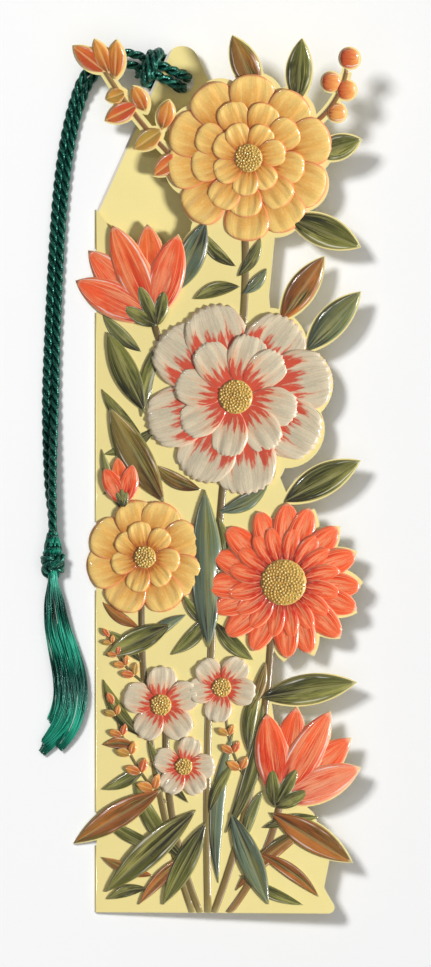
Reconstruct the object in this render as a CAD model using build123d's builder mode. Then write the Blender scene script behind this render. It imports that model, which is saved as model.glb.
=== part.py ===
"""A folded, die-cut and embossed bookmark with a cord and a tassel.

The card lies flat on its back leaf, with its tab towards +Y and the fold along -X.
Lengths are millimetres and angles are degrees.
"""

from build123d import *
from dataclasses import dataclass
from math import asin, cos, degrees, pi, radians, sin, tan
import os

os.makedirs("parts", exist_ok=True)

# Card and fold
card_thickness = 0.4
fold_gap = 0.2
fold_length = 140.4
rest_opening = 6.0
bow_start = 127.4
back_bow_radius = 320.0
front_bow_radius = 132.0

# Back leaf, a tag with a punched tab
back_width = 34.0
back_height = 173.0
tab_radius = 3.4
hole_radius = 2.4
hole_below_top = 7.0
notch_gap = 0.3
notch_corner = 1.0

# Front leaf: its margin round the relief and the heights of that relief
die_margin = 0.7
relief_gap = 0.12
stem_relief = 0.35
leaf_relief = 0.5
side_petal_relief = 0.6
middle_petal_relief = 0.9
berry_relief = 0.8

# Cord, hitch, knot and fringe
cord_diameter = 1.8
cord_gap = 0.1
floor_gap = 0.05
hitch_spacing = 1.1
hitch_leg_spacing = 3.3
hitch_bar_out = 6.6
hitch_exit_out = 7.7
hitch_over_tab = 4.7
hitch_bar_over_strand = 2.2
hitch_bend = 1.45
knot_radius = 2.4
knot_collar_radius = 1.95
knot_end_radius = 1.5
knot_collar_length = 3.2
knot_length = 8.4
fringe_neck_radius = 0.9
fringe_root_radius = 0.8
fringe_neck_gap = 0.12


@dataclass
class Ring:
    """One ring of petals: how far it reaches, its petals and how high they stand."""

    reach: float
    count: int
    length: float
    width: float
    turn: float
    height: float
    pointed: bool = False


@dataclass
class Bloom:
    """A flower seen from above, placed from the fold and the bottom edge."""

    centre: tuple
    rings: list
    heart_radius: float
    heart_height: float


@dataclass
class Tulip:
    """A flower seen from the side: a fan of pointed petals on one base."""

    base: tuple
    direction: float
    reach: float
    spread: float
    count: int
    bulge: float


amber_rosette = Bloom(
    (30.8, 150.5),
    [
        Ring(16.4, 10, 9.6, 10.0, 10, 0.55),
        Ring(11.8, 9, 7.6, 7.8, 30, 0.8),
        Ring(7.6, 7, 5.6, 6.2, 5, 1.05),
    ],
    2.8,
    1.25,
)
amber_small = Bloom(
    (9.8, 71.0),
    [Ring(11.4, 8, 8.4, 8.8, 20, 0.55), Ring(7.2, 7, 5.2, 5.6, 45, 0.8)],
    2.2,
    1.05,
)
cream_anemone = Bloom(
    (28.0, 103.0),
    [Ring(19.0, 8, 14.4, 14.2, 12, 0.55), Ring(12.8, 8, 9.4, 9.2, 34.5, 0.8)],
    3.4,
    1.05,
)
cream_blossoms = [
    Bloom((13.0, 41.5), [Ring(7.6, 5, 6.0, 6.6, 18, 0.55)], 2.1, 0.8),
    Bloom((25.2, 45.0), [Ring(6.6, 5, 5.2, 5.8, 50, 0.55)], 1.9, 0.8),
    Bloom((17.6, 29.2), [Ring(6.0, 5, 4.8, 5.2, 80, 0.55)], 1.7, 0.8),
]
coral_daisy = Bloom(
    (37.6, 66.0),
    [
        Ring(15.2, 16, 11.2, 4.8, 0, 0.55, True),
        Ring(11.4, 16, 7.6, 4.0, 11.25, 0.8, True),
    ],
    4.6,
    1.05,
)
coral_tulips = [
    Tulip((11.6, 118.5), 114, 20.0, 80, 5, 3.2),
    Tulip((36.6, 22.5), 60, 20.0, 76, 5, 3.1),
]

# Leaves: base, tip, and how far they bulge to the left and right of that line
bouquet_top = (28.4, 174.1)
leaves = [
    ((13.0, 24.5), (-4.2, 14.0), 2.0, 2.3),
    ((20.0, 20.5), (2.2, 4.4), 2.2, 2.6),
    ((22.0, 18.0), (13.6, 2.0), 1.8, 1.8),
    ((27.0, 20.0), (34.4, 2.2), 2.0, 2.0),
    ((35.0, 20.0), (50.8, 10.5), 2.6, 2.2),
    ((33.0, 43.0), (51.6, 46.0), 2.6, 2.4),
    ((15.0, 57.5), (2.2, 51.5), 2.0, 2.0),
    ((22.6, 53.0), (21.8, 84.0), 3.2, 2.8),
    ((13.6, 82.0), (2.8, 100.5), 3.2, 2.4),
    ((9.8, 100.0), (2.4, 115.5), 2.3, 2.0),
    ((42.0, 112.0), (52.6, 123.5), 2.6, 2.2),
    ((37.0, 118.0), (45.4, 130.5), 2.4, 2.2),
    ((37.6, 82.0), (52.4, 90.0), 2.8, 2.4),
    ((38.6, 138.8), (52.4, 133.0), 2.8, 2.4),
    ((22.0, 138.0), (15.6, 124.0), 2.6, 2.2),
    ((33.0, 163.0), bouquet_top, 2.3, 2.3),
    ((40.6, 161.0), (42.0, 173.4), 2.2, 2.0),
    ((44.0, 151.0), (52.8, 154.0), 2.0, 2.0),
]

# Sprig over the cord: leaflets, base, tip and bulge on both sides
leaflets = [
    ((2.6, 167.6), (-3.4, 172.4), 1.6),
    ((4.4, 166.2), (5.0, 173.4), 1.5),
    ((3.4, 167.2), (0.8, 173.6), 1.3),
    ((6.4, 163.6), (2.9, 162.4), 1.1),
    ((8.8, 161.2), (2.6, 158.2), 1.5),
    ((10.4, 159.8), (8.2, 164.4), 1.3),
    ((13.6, 156.2), (15.0, 161.6), 1.4),
    ((13.6, 156.2), (8.2, 152.6), 1.5),
    ((17.4, 151.6), (20.4, 161.8), 1.8),
    ((17.4, 151.6), (12.0, 147.4), 1.5),
]

# Stems: start, end, bow to the left and width
stems = [
    ((20.6, 146.0), (2.2, 168.2), 1.2, 1.0),
    ((42.0, 156.0), (50.8, 167.8), -1.6, 0.9),
    ((37.4, 25.0), (26.6, 0.5), 1.8, 1.5),
    ((32.0, 50.0), (23.6, 0.5), 2.6, 1.5),
    ((14.4, 36.0), (20.8, 0.5), -2.2, 1.4),
    ((11.2, 120.0), (17.0, 108.0), -1.2, 1.4),
    ((5.6, 82.0), (4.6, 60.0), -1.2, 1.0),
]

# Berries: middle and radius
berries = [
    ((51.4, 170.0), 1.6),
    ((50.6, 163.8), 1.5),
    ((47.6, 165.4), 1.5),
    ((48.6, 159.4), 1.4),
]

# Ground of the front leaf, from the foot of the fold round to its head
ground = [
    (0, 0),
    (48.6, 0),
    (45.6, 5.2),
    (46.8, 11.0),
    (43.6, 20.0),
    (38.0, 25.0),
    (35.4, 40.0),
    (34.4, 48.0),
    (34.0, 78.0),
    (38.6, 82.5),
    (36.4, 88.0),
    (36.0, 110.0),
    (34.6, 123.0),
    (36.0, 137.0),
    (38.0, 158.0),
    (30.0, 162.0),
    (24.0, 157.0),
    (22.0, 146.0),
    (19.0, 137.0),
    (17.6, 126.0),
    (9.6, 120.0),
    (3.2, 136.0),
    (0, fold_length),
]
ground_corner = 1.2

# Routes of the two strands from the hitch to the knot: from the fold, from the bottom edge, above the table
outer_route = [
    (5.4, 171.8, 4.35),
    (1.8, 171.0, 3.75),
    (-1.1, 169.0, 3.05),
    (-3.1, 166.5, 2.3),
    (-4.5, 162.8, 1.45),
    (-6.0, 157.5, 1.0),
    (-7.5, 149.6, 1.0),
    (-8.6, 139.5, 1.0),
    (-9.3, 127.5, 1.0),
    (-9.9, 115.0, 1.0),
    (-10.3, 103.0, 1.0),
    (-10.1, 92.0, 1.0),
    (-9.7, 84.0, 1.1),
]
inner_route = [
    (5.1, 169.45, 4.35),
    (2.4, 168.95, 3.75),
    (0.2, 167.5, 3.05),
    (-1.4, 165.4, 2.3),
    (-2.6, 162.1, 1.45),
    (-4.0, 157.0, 1.0),
    (-5.4, 149.2, 1.0),
    (-6.5, 139.0, 1.0),
    (-7.2, 127.0, 1.0),
    (-7.6, 114.6, 1.0),
    (-7.9, 103.0, 1.05),
    (-8.6, 92.4, 2.3),
    (-8.9, 84.0, 3.0),
]
knot_top = (-8.8, 75.4)
strand_first_run = 2.0
strand_last_run = 3.2

# Fringe: middle from the fold and the bottom edge, heading, half width and half height
fringe_sections = [
    (-8.6, 62.4, 268, 1.9, 1.35),
    (-8.0, 56.6, 280, 2.6, 1.55),
    (-6.7, 52.0, 292, 3.0, 1.55),
    (-5.4, 47.2, 284, 3.3, 1.45),
    (-5.1, 42.6, 266, 3.5, 1.35),
    (-6.4, 38.0, 242, 3.5, 1.25),
    (-9.0, 34.6, 230, 3.4, 1.05),
]

# Places that follow from the sizes
front_height = bouquet_top[1] + die_margin
fold_x = -back_width / 2
bottom_y = -front_height / 2
fold_axis_z = card_thickness + fold_gap / 2
sheet_top = fold_gap / 2 + card_thickness
hole_place = (back_width / 2, back_height - hole_below_top)
table_plane = Plane(origin=(fold_x, bottom_y, 0))
rest_side = Vector(cos(radians(rest_opening)), 0, sin(radians(rest_opening)))
rest_normal = Vector(-sin(radians(rest_opening)), 0, cos(radians(rest_opening)))
leaf_plane = Plane(origin=(fold_x, bottom_y, fold_axis_z), x_dir=rest_side, z_dir=rest_normal)
leaf_side_plane = Plane(origin=leaf_plane.origin, x_dir=(0, 1, 0), z_dir=rest_side)
table_side_plane = Plane(origin=table_plane.origin, x_dir=(0, 1, 0), z_dir=(1, 0, 0))
sheet_reach = back_width + front_height / 2
sheet_overrun = 5.0
prism_depth = 4 * sheet_overrun


class Blade(BaseSketchObject):
    """A leaf or pointed petal: two arcs that meet at its base and tip."""

    def __init__(self, base, tip, left, right, margin=0.0, rotation=0.0, mode=Mode.ADD):
        along = (Vector(*tip) - Vector(*base)).normalized() * margin
        start = Vector(*base) - along
        end = Vector(*tip) + along
        with BuildSketch() as outline:
            with BuildLine():
                SagittaArc(start, end, left + margin)
                SagittaArc(start, end, -right - margin)
            make_face()
        super().__init__(obj=outline.sketch, rotation=rotation, mode=mode)


class Band(BaseSketchObject):
    """A stem: a curved strip of one width."""

    def __init__(self, start, end, bow, width, margin=0.0, rotation=0.0, mode=Mode.ADD):
        along = (Vector(*end) - Vector(*start)).normalized()
        aside = along.rotate(Axis.Z, 90) * (width / 2 + margin)
        with BuildSketch() as outline:
            with BuildLine():
                left = SagittaArc(Vector(*start) + aside, Vector(*end) + aside, bow)
                right = SagittaArc(Vector(*start) - aside, Vector(*end) - aside, bow)
                Line(left @ 0, right @ 0)
                Line(left @ 1, right @ 1)
            make_face()
        super().__init__(obj=outline.sketch, rotation=rotation, mode=mode)


def draw_ring(bloom, ring, margin=0.0, mode=Mode.ADD):
    """Adds one ring of petals to the sketch."""
    half = ring.length / 2
    with Locations(bloom.centre):
        with PolarLocations(ring.reach - half, ring.count, ring.turn):
            if ring.pointed:
                Blade((-half, 0), (half, 0), ring.width / 2, ring.width / 2, margin, mode=mode)
            else:
                Ellipse(half + margin, ring.width / 2 + margin, mode=mode)


def draw_heart(bloom, margin=0.0, mode=Mode.ADD):
    """Adds the round middle of a bloom to the sketch."""
    with Locations(bloom.centre):
        Circle(bloom.heart_radius + margin, mode=mode)


def draw_bloom(bloom, margin=0.0, mode=Mode.ADD):
    """Adds a whole bloom to the sketch."""
    for ring in bloom.rings:
        draw_ring(bloom, ring, margin, mode)
    draw_heart(bloom, margin, mode)


def tulip_petals(tulip):
    """The base, tip and bulge of each petal of a tulip, from one side to the other."""
    petals = []
    for number in range(tulip.count):
        share = number / (tulip.count - 1) - 0.5
        angle = radians(tulip.direction + tulip.spread * share)
        reach = tulip.reach * (1 - 0.3 * abs(share))
        tip = (tulip.base[0] + reach * cos(angle), tulip.base[1] + reach * sin(angle))
        petals.append((tulip.base, tip, tulip.bulge))
    return petals


def draw_tulip(petals, margin=0.0, mode=Mode.ADD):
    """Adds the given petals of a tulip to the sketch."""
    for base, tip, bulge in petals:
        Blade(base, tip, bulge, bulge, margin, mode=mode)


def draw_leaves(margin=0.0, mode=Mode.ADD):
    """Adds the leaves and the sprig's leaflets to the sketch."""
    for base, tip, left, right in leaves:
        Blade(base, tip, left, right, margin, mode=mode)
    for base, tip, bulge in leaflets:
        Blade(base, tip, bulge, bulge, margin, mode=mode)


def draw_stems(margin=0.0, mode=Mode.ADD):
    """Adds the stems to the sketch."""
    for start, end, bow, width in stems:
        Band(start, end, bow, width, margin, mode=mode)


def draw_berries(margin=0.0, mode=Mode.ADD):
    """Adds the berries to the sketch."""
    for middle, radius in berries:
        with Locations(middle):
            Circle(radius + margin, mode=mode)


def draw_flowers(margin=0.0, mode=Mode.ADD):
    """Adds every flower to the sketch."""
    for bloom in [amber_rosette, amber_small, cream_anemone, *cream_blossoms, coral_daisy]:
        draw_bloom(bloom, margin, mode)
    for tulip in coral_tulips:
        draw_tulip(tulip_petals(tulip), margin, mode)


def bowed_sheet(side_plane, bow_radius, length, low, high):
    """A broad sheet between two heights, straight as far as the bow's start and then bowed up."""
    turn = degrees(asin((length + sheet_overrun - bow_start) / bow_radius))
    with BuildPart() as sheet:
        with BuildSketch(side_plane):
            with BuildLine():
                lower_bow = JernArc((bow_start, low), (1, 0), bow_radius - low, turn)
                upper_bow = JernArc((bow_start, high), (1, 0), bow_radius - high, turn)
                Line(lower_bow @ 1, upper_bow @ 1)
                Polyline(lower_bow @ 0, (-sheet_overrun, low), (-sheet_overrun, high), upper_bow @ 0)
            make_face()
        extrude(amount=sheet_reach, both=True)
    return sheet.part


def raised(outline, low, high):
    """Relief of that outline between two heights over the face of the front leaf."""
    with BuildPart() as relief:
        add(bowed_sheet(leaf_side_plane, front_bow_radius, front_height, sheet_top + low, sheet_top + high))
        with BuildSketch(leaf_plane.offset(-sheet_overrun)):
            add(outline)
        extrude(amount=prism_depth, mode=Mode.INTERSECT)
    return relief.part


def raised_bloom(bloom):
    """The relief of a bloom in tiers: each ring stands on the ring outside it, and the heart on top."""
    tiers = []
    low = 0
    for number, ring in enumerate(bloom.rings):
        with BuildSketch() as outline:
            for inner_ring in bloom.rings[number:]:
                draw_ring(bloom, inner_ring)
            draw_heart(bloom)
        tiers.append(raised(outline.sketch, low, ring.height))
        low = ring.height
    with BuildSketch() as heart:
        draw_heart(bloom)
    tiers.append(raised(heart.sketch, low, bloom.heart_height))
    return tiers


def raised_tulip(tulip):
    """The relief of a tulip in two tiers: every other petal lies behind its neighbours."""
    petals = tulip_petals(tulip)
    with BuildSketch() as whole:
        draw_tulip(petals)
    with BuildSketch() as before:
        draw_tulip(petals[0::2])
    return [
        raised(whole.sketch, 0, side_petal_relief),
        raised(before.sketch, side_petal_relief, middle_petal_relief),
    ]


def route_radii(points):
    """The largest bend that each corner of a route takes."""
    radii = []
    for before, corner, after in zip(points, points[1:], points[2:]):
        first_run = Vector(*corner) - Vector(*before)
        second_run = Vector(*after) - Vector(*corner)
        half_turn = radians(first_run.get_angle(second_run)) / 2
        radii.append(0.45 * min(first_run.length, second_run.length) / tan(half_turn))
    return radii


def report_tube(name, part, length):
    """Prints a tube's volume beside its section times its length."""
    expected = pi * cord_diameter**2 / 4 * length
    print(f"{name}: length {length:.1f}, volume {part.volume:.2f}, expected {expected:.2f}")


# Outline of the front leaf
with BuildSketch() as front_outline:
    with BuildLine():
        Polyline(*ground, close=True)
    make_face()
    fillet(front_outline.vertices().group_by(Axis.X)[1:], radius=ground_corner)
    draw_flowers(die_margin)
    draw_leaves(die_margin)
    draw_stems(die_margin)
    draw_berries(die_margin)
    with Locations((-sheet_reach, 0)):
        Rectangle(2 * sheet_reach, front_height, align=(Align.MIN, Align.MIN), mode=Mode.INTERSECT)

# What stands past the fold
with BuildSketch() as past_fold:
    add(front_outline.sketch)
    Rectangle(sheet_reach, fold_length, align=(Align.MAX, Align.MIN), mode=Mode.INTERSECT)
with BuildSketch() as fold_notches:
    for face in past_fold.sketch.faces():
        span = face.bounding_box()
        with Locations((0, span.center().Y)):
            RectangleRounded(
                2 * (span.size.X + notch_gap),
                span.size.Y + 2 * notch_gap,
                notch_corner,
            )
fold_breaks = []
for face in fold_notches.sketch.faces().sort_by(Axis.Y):
    span = face.bounding_box()
    fold_breaks.append((span.min.Y, span.max.Y))

with BuildPart() as front_leaf:
    add(bowed_sheet(leaf_side_plane, front_bow_radius, front_height, fold_gap / 2, sheet_top))
    with BuildSketch(leaf_plane.offset(-sheet_overrun)):
        add(front_outline.sketch)
    extrude(amount=prism_depth, mode=Mode.INTERSECT)

# The back leaf has lost the card of what stands past the fold
with BuildSketch() as back_outline:
    Rectangle(back_width, fold_length, align=(Align.MIN, Align.MIN))
    with Locations((back_width / 2, back_height - tab_radius)):
        Circle(tab_radius)
    make_hull()
    with Locations(hole_place):
        Circle(hole_radius, mode=Mode.SUBTRACT)
    add(fold_notches.sketch, mode=Mode.SUBTRACT)

with BuildPart() as back_leaf:
    add(bowed_sheet(table_side_plane, back_bow_radius, back_height, 0, card_thickness))
    with BuildSketch(table_plane.offset(-sheet_overrun)):
        add(back_outline.sketch)
    extrude(amount=prism_depth, mode=Mode.INTERSECT)

# The crease bends round from the back leaf to the front leaf, between the breaks
crease_starts = [0] + [upper for _, upper in fold_breaks]
crease_ends = [lower for lower, _ in fold_breaks] + [fold_length]
with BuildPart() as fold_crease:
    for start, end in zip(crease_starts, crease_ends):
        foot = (fold_x, bottom_y + start, fold_axis_z)
        with BuildSketch(Plane(origin=foot, x_dir=(1, 0, 0), z_dir=(0, -1, 0))):
            with BuildLine():
                inside = CenterArc((0, 0), fold_gap / 2, 90 + rest_opening, 180 - rest_opening)
                outside = CenterArc((0, 0), sheet_top, 90 + rest_opening, 180 - rest_opening)
                Line(inside @ 0, outside @ 0)
                Line(inside @ 1, outside @ 1)
            make_face()
        extrude(amount=start - end)

# Relief, by colour
amber_steps = raised_bloom(amber_rosette) + raised_bloom(amber_small)
with BuildPart() as amber_blooms:
    add(amber_steps)

cream_steps = raised_bloom(cream_anemone)
for blossom in cream_blossoms:
    cream_steps += raised_bloom(blossom)
with BuildPart() as cream_blooms:
    add(cream_steps)

coral_steps = raised_bloom(coral_daisy)
for tulip in coral_tulips:
    coral_steps += raised_tulip(tulip)
with BuildPart() as coral_blooms:
    add(coral_steps)

with BuildSketch() as leaf_outline:
    draw_leaves()
    draw_flowers(relief_gap, Mode.SUBTRACT)
    draw_berries(relief_gap, Mode.SUBTRACT)
leaf_step = raised(leaf_outline.sketch, 0, leaf_relief)
with BuildPart() as leaf_sprays:
    add(leaf_step)

with BuildSketch() as stem_outline:
    draw_stems()
    draw_leaves(relief_gap, Mode.SUBTRACT)
    draw_flowers(relief_gap, Mode.SUBTRACT)
    draw_berries(relief_gap, Mode.SUBTRACT)
stem_step = raised(stem_outline.sketch, 0, stem_relief)
with BuildPart() as flower_stems:
    add(stem_step)

with BuildSketch() as berry_outline:
    draw_berries()
berry_step = raised(berry_outline.sketch, 0, berry_relief)
with BuildPart() as berry_beads:
    add(berry_step)

# Hitch: a doubled cord goes down through the hole, under the tab, up past its edge and over itself
edge_start = Vector(0, fold_length)
tab_middle = Vector(back_width / 2, back_height - tab_radius)
lean = degrees(asin(tab_radius / (tab_middle - edge_start).length))
edge_heading = (tab_middle - edge_start).rotate(Axis.Z, lean)
hitch_heading = edge_heading.normalized().rotate(Axis.Z, 90)
hitch_plane = Plane(
    origin=(fold_x + hole_place[0], bottom_y + hole_place[1], 0),
    x_dir=hitch_heading,
    z_dir=(0, 0, 1),
)
under_tab = cord_diameter / 2 + floor_gap
bar_level = hitch_over_tab + hitch_bar_over_strand
half_hitch = [
    (hitch_exit_out, hitch_spacing, hitch_over_tab),
    (0, hitch_spacing, hitch_over_tab),
    (0, hitch_spacing, under_tab),
    (hitch_bar_out, hitch_leg_spacing, under_tab),
    (hitch_bar_out, hitch_leg_spacing, bar_level),
]
other_half = [(out, -aside, level) for out, aside, level in reversed(half_hitch)]
hitch_points = [hitch_plane.from_local_coords(Vector(*point)) for point in half_hitch + other_half]
with BuildPart() as cord_hitch:
    with BuildLine() as hitch_line:
        FilletPolyline(*hitch_points, radius=hitch_bend)
    with BuildSketch(Plane(hitch_line.wires()[0] @ 0, z_dir=hitch_line.wires()[0] % 0)):
        Circle(cord_diameter / 2)
    sweep()
report_tube("cord_hitch", cord_hitch.part, hitch_line.wires()[0].length)

# Strands: from the two ends of the hitch to the top of the knot, one above the other there
knot_level = knot_radius + floor_gap
strand_rise = cord_diameter / 2 + cord_gap / 2
strands = {}
for name, aside, route, rise in [
    ("cord_strand_outer", -hitch_spacing, outer_route, -strand_rise),
    ("cord_strand_inner", hitch_spacing, inner_route, strand_rise),
]:
    hitch_end = Vector(hitch_exit_out, aside, hitch_over_tab)
    knot_end = Vector(*knot_top, knot_level + rise)
    points = [
        hitch_plane.from_local_coords(hitch_end),
        hitch_plane.from_local_coords(hitch_end + Vector(strand_first_run, 0, 0)),
        *[table_plane.from_local_coords(Vector(*point)) for point in route],
        table_plane.from_local_coords(knot_end + Vector(0, strand_last_run, 0)),
        table_plane.from_local_coords(knot_end),
    ]
    radii = route_radii(points)
    print(name, "radii", [round(radius, 1) for radius in radii])
    with BuildPart() as strand:
        with BuildLine() as strand_line:
            FilletPolyline(*points, radius=radii)
        with BuildSketch(Plane(strand_line.wires()[0] @ 0, z_dir=strand_line.wires()[0] % 0)):
            Circle(cord_diameter / 2)
        sweep()
    report_tube(name, strand.part, strand_line.wires()[0].length)
    strands[name] = strand

# Knot: a wound collar over a rounded lump, turned about the line of the cord
knot_place = table_plane.from_local_coords(Vector(*knot_top, knot_level))
knot_plane = Plane(origin=knot_place, x_dir=(1, 0, 0), z_dir=(0, 0, 1))
with BuildPart() as tassel_knot:
    with BuildSketch(knot_plane):
        with BuildLine():
            Polyline(
                (0, -knot_length),
                (0, 0),
                (knot_collar_radius, 0),
                (knot_collar_radius, -knot_collar_length),
            )
            ThreePointArc(
                (knot_collar_radius, -knot_collar_length),
                (knot_radius, -(knot_collar_length + knot_length) / 2),
                (knot_end_radius, -knot_length),
            )
            Line((knot_end_radius, -knot_length), (0, -knot_length))
        make_face()
    revolve(axis=Axis(knot_place, (0, 1, 0)))

# Fringe: a rounded neck below the knot, then a lock that swings to one side and back
fringe_pivot = knot_place - Vector(0, knot_length + fringe_neck_radius + fringe_neck_gap, 0)
with BuildPart() as tassel_fringe:
    with BuildSketch(Plane(fringe_pivot, x_dir=(1, 0, 0), z_dir=(0, -1, 0))):
        Circle(fringe_root_radius)
    for across, up, heading, half_width, half_height in fringe_sections:
        along = Vector(cos(radians(heading)), sin(radians(heading)), 0)
        middle = table_plane.from_local_coords(Vector(across, up, half_height + floor_gap))
        with BuildSketch(Plane(middle, x_dir=along.rotate(Axis.Z, 90), z_dir=along)):
            Ellipse(half_width, half_height)
    loft()
    with Locations(fringe_pivot):
        Sphere(fringe_neck_radius)

# Labels and files
pieces = {
    "back_leaf": back_leaf,
    "fold_crease": fold_crease,
    "front_leaf": front_leaf,
    "amber_blooms": amber_blooms,
    "cream_blooms": cream_blooms,
    "coral_blooms": coral_blooms,
    "leaf_sprays": leaf_sprays,
    "flower_stems": flower_stems,
    "berry_beads": berry_beads,
    "cord_hitch": cord_hitch,
    **strands,
    "tassel_knot": tassel_knot,
    "tassel_fringe": tassel_fringe,
}
for name, piece in pieces.items():
    piece.part.label = name
    export_step(piece.part, f"parts/{name}.step")
print("hole axis", tuple(hitch_plane.origin))
print("fringe pivot", tuple(fringe_pivot))
print("fold breaks", [(round(low, 2), round(high, 2)) for low, high in fold_breaks])
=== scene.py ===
"""Looks of a folded bookmark: die-cut, printed and embossed card, twisted cord, knot and fringe.

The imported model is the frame. Places on the front leaf are millimetres: u from the fold,
v from the bottom edge and h above the middle of the fold. The lay_on_leaf tree bows and
tilts them as the leaf is and turns them into metres. Places on the table are u, v and z.
"""

from functools import partialmethod
from math import cos, pi, radians, sin

import bpy
import numpy as np
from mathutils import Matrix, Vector


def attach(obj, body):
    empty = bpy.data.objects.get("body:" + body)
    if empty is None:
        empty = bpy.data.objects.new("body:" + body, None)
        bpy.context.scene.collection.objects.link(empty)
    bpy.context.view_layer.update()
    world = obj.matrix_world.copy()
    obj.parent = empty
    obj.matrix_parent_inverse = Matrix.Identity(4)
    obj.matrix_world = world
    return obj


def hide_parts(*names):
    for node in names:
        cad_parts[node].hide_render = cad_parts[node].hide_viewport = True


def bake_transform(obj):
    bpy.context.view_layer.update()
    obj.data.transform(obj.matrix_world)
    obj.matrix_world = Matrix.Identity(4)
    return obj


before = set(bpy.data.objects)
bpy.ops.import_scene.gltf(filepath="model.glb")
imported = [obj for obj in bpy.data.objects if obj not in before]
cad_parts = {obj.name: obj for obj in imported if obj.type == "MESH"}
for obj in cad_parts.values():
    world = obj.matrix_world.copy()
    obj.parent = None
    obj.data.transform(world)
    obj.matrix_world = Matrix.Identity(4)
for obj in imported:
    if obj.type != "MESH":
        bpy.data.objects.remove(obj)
for spare in ("Cube", "Light", "Camera"):
    if spare in bpy.data.objects:
        bpy.data.objects.remove(bpy.data.objects[spare])
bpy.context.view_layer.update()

# ------------------------------------------------------------------ sizes in millimetres
MM = 0.001
TURN = 2 * pi
FOLD_X = -17.0
BOTTOM_Y = -87.4
FOLD_Z = 0.5
REST_OPENING = radians(6)
BOW_START = 127.4
FRONT_BOW_RADIUS = 132.0
FOLD_LENGTH = 140.4
SLANT_HEADING = radians(65.6)
SHEET_LOW = 0.1
SHEET_TOP = 0.5
CREASE_RUNS = [(0.0, 13.34), (20.03, 64.32), (78.03, 119.82), (132.61, 140.4)]
CREASE_POINTS = 15
CREASE_STEP = 6
CREASE_MIDDLE = 60.0

# Blooms: centre, rings of (reach, count, length, width, turn, height), heart radius and height
AMBER_ROSETTE = (
    (30.8, 150.5),
    [
        (16.4, 10, 9.6, 10.0, 10.0, 0.55),
        (11.8, 9, 7.6, 7.8, 30.0, 0.80),
        (7.6, 7, 5.6, 6.2, 5.0, 1.05),
    ],
    (2.8, 1.25),
)
AMBER_SMALL = (
    (9.8, 71.0),
    [(11.4, 8, 8.4, 8.8, 20.0, 0.55), (7.2, 7, 5.2, 5.6, 45.0, 0.80)],
    (2.2, 1.05),
)
CREAM_ANEMONE = (
    (28.0, 103.0),
    [(19.0, 8, 14.4, 14.2, 12.0, 0.55), (12.8, 8, 9.4, 9.2, 34.5, 0.80)],
    (3.4, 1.05),
)
CREAM_BLOSSOMS = [
    ((13.0, 41.5), [(7.6, 5, 6.0, 6.6, 18.0, 0.55)], (2.1, 0.80)),
    ((25.2, 45.0), [(6.6, 5, 5.2, 5.8, 50.0, 0.55)], (1.9, 0.80)),
    ((17.6, 29.2), [(6.0, 5, 4.8, 5.2, 80.0, 0.55)], (1.7, 0.80)),
]
CORAL_DAISY = (
    (37.6, 66.0),
    [(15.2, 16, 11.2, 4.8, 0.0, 0.55), (11.4, 16, 7.6, 4.0, 11.25, 0.80)],
    (4.6, 1.05),
)
BLOOMS = [AMBER_ROSETTE, AMBER_SMALL, CREAM_ANEMONE, *CREAM_BLOSSOMS, CORAL_DAISY]
# Two tulips and a bud: base, heading, reach, spread of the fan, petals and their bulge
TULIPS = [
    ((11.6, 118.5), 114.0, 20.0, 80.0, 5, 3.2),
    ((36.6, 22.5), 60.0, 20.0, 76.0, 5, 3.1),
    ((5.5, 81.6), 98.0, 9.0, 42.0, 3, 1.6),
]
# Leaves: base, tip, and how far the left and right edges bulge
LEAVES = [
    ((13.0, 24.5), (-4.2, 14.0), 2.0, 2.3),
    ((20.0, 20.5), (2.2, 4.4), 2.2, 2.6),
    ((22.0, 18.0), (13.6, 2.0), 1.8, 1.8),
    ((27.0, 20.0), (34.4, 2.2), 2.0, 2.0),
    ((35.0, 20.0), (50.8, 10.5), 2.6, 2.2),
    ((33.0, 43.0), (51.6, 46.0), 2.6, 2.4),
    ((15.0, 57.5), (2.2, 51.5), 2.0, 2.0),
    ((22.6, 53.0), (21.8, 84.0), 3.2, 2.8),
    ((13.6, 82.0), (2.8, 100.5), 3.2, 2.4),
    ((9.8, 100.0), (2.4, 115.5), 2.3, 2.0),
    ((42.0, 112.0), (52.6, 123.5), 2.6, 2.2),
    ((37.0, 118.0), (45.4, 130.5), 2.4, 2.2),
    ((37.6, 82.0), (52.4, 90.0), 2.8, 2.4),
    ((38.6, 138.8), (52.4, 133.0), 2.8, 2.4),
    ((22.0, 138.0), (15.6, 124.0), 2.6, 2.2),
    ((33.0, 163.0), (28.4, 174.1), 2.3, 2.3),
    ((40.6, 161.0), (42.0, 173.4), 2.2, 2.0),
    ((44.0, 151.0), (52.8, 154.0), 2.0, 2.0),
]
# Leaflets of the sprig at the upper left: base, tip and bulge
LEAFLETS = [
    ((2.6, 167.6), (-3.4, 172.4), 1.6),
    ((4.4, 166.2), (5.0, 173.4), 1.5),
    ((3.4, 167.2), (0.8, 173.6), 1.3),
    ((6.4, 163.6), (2.9, 162.4), 1.1),
    ((8.8, 161.2), (2.6, 158.2), 1.5),
    ((10.4, 159.8), (8.2, 164.4), 1.3),
    ((13.6, 156.2), (15.0, 161.6), 1.4),
    ((13.6, 156.2), (8.2, 152.6), 1.5),
    ((17.4, 151.6), (12.0, 147.4), 1.5),
]
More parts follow.
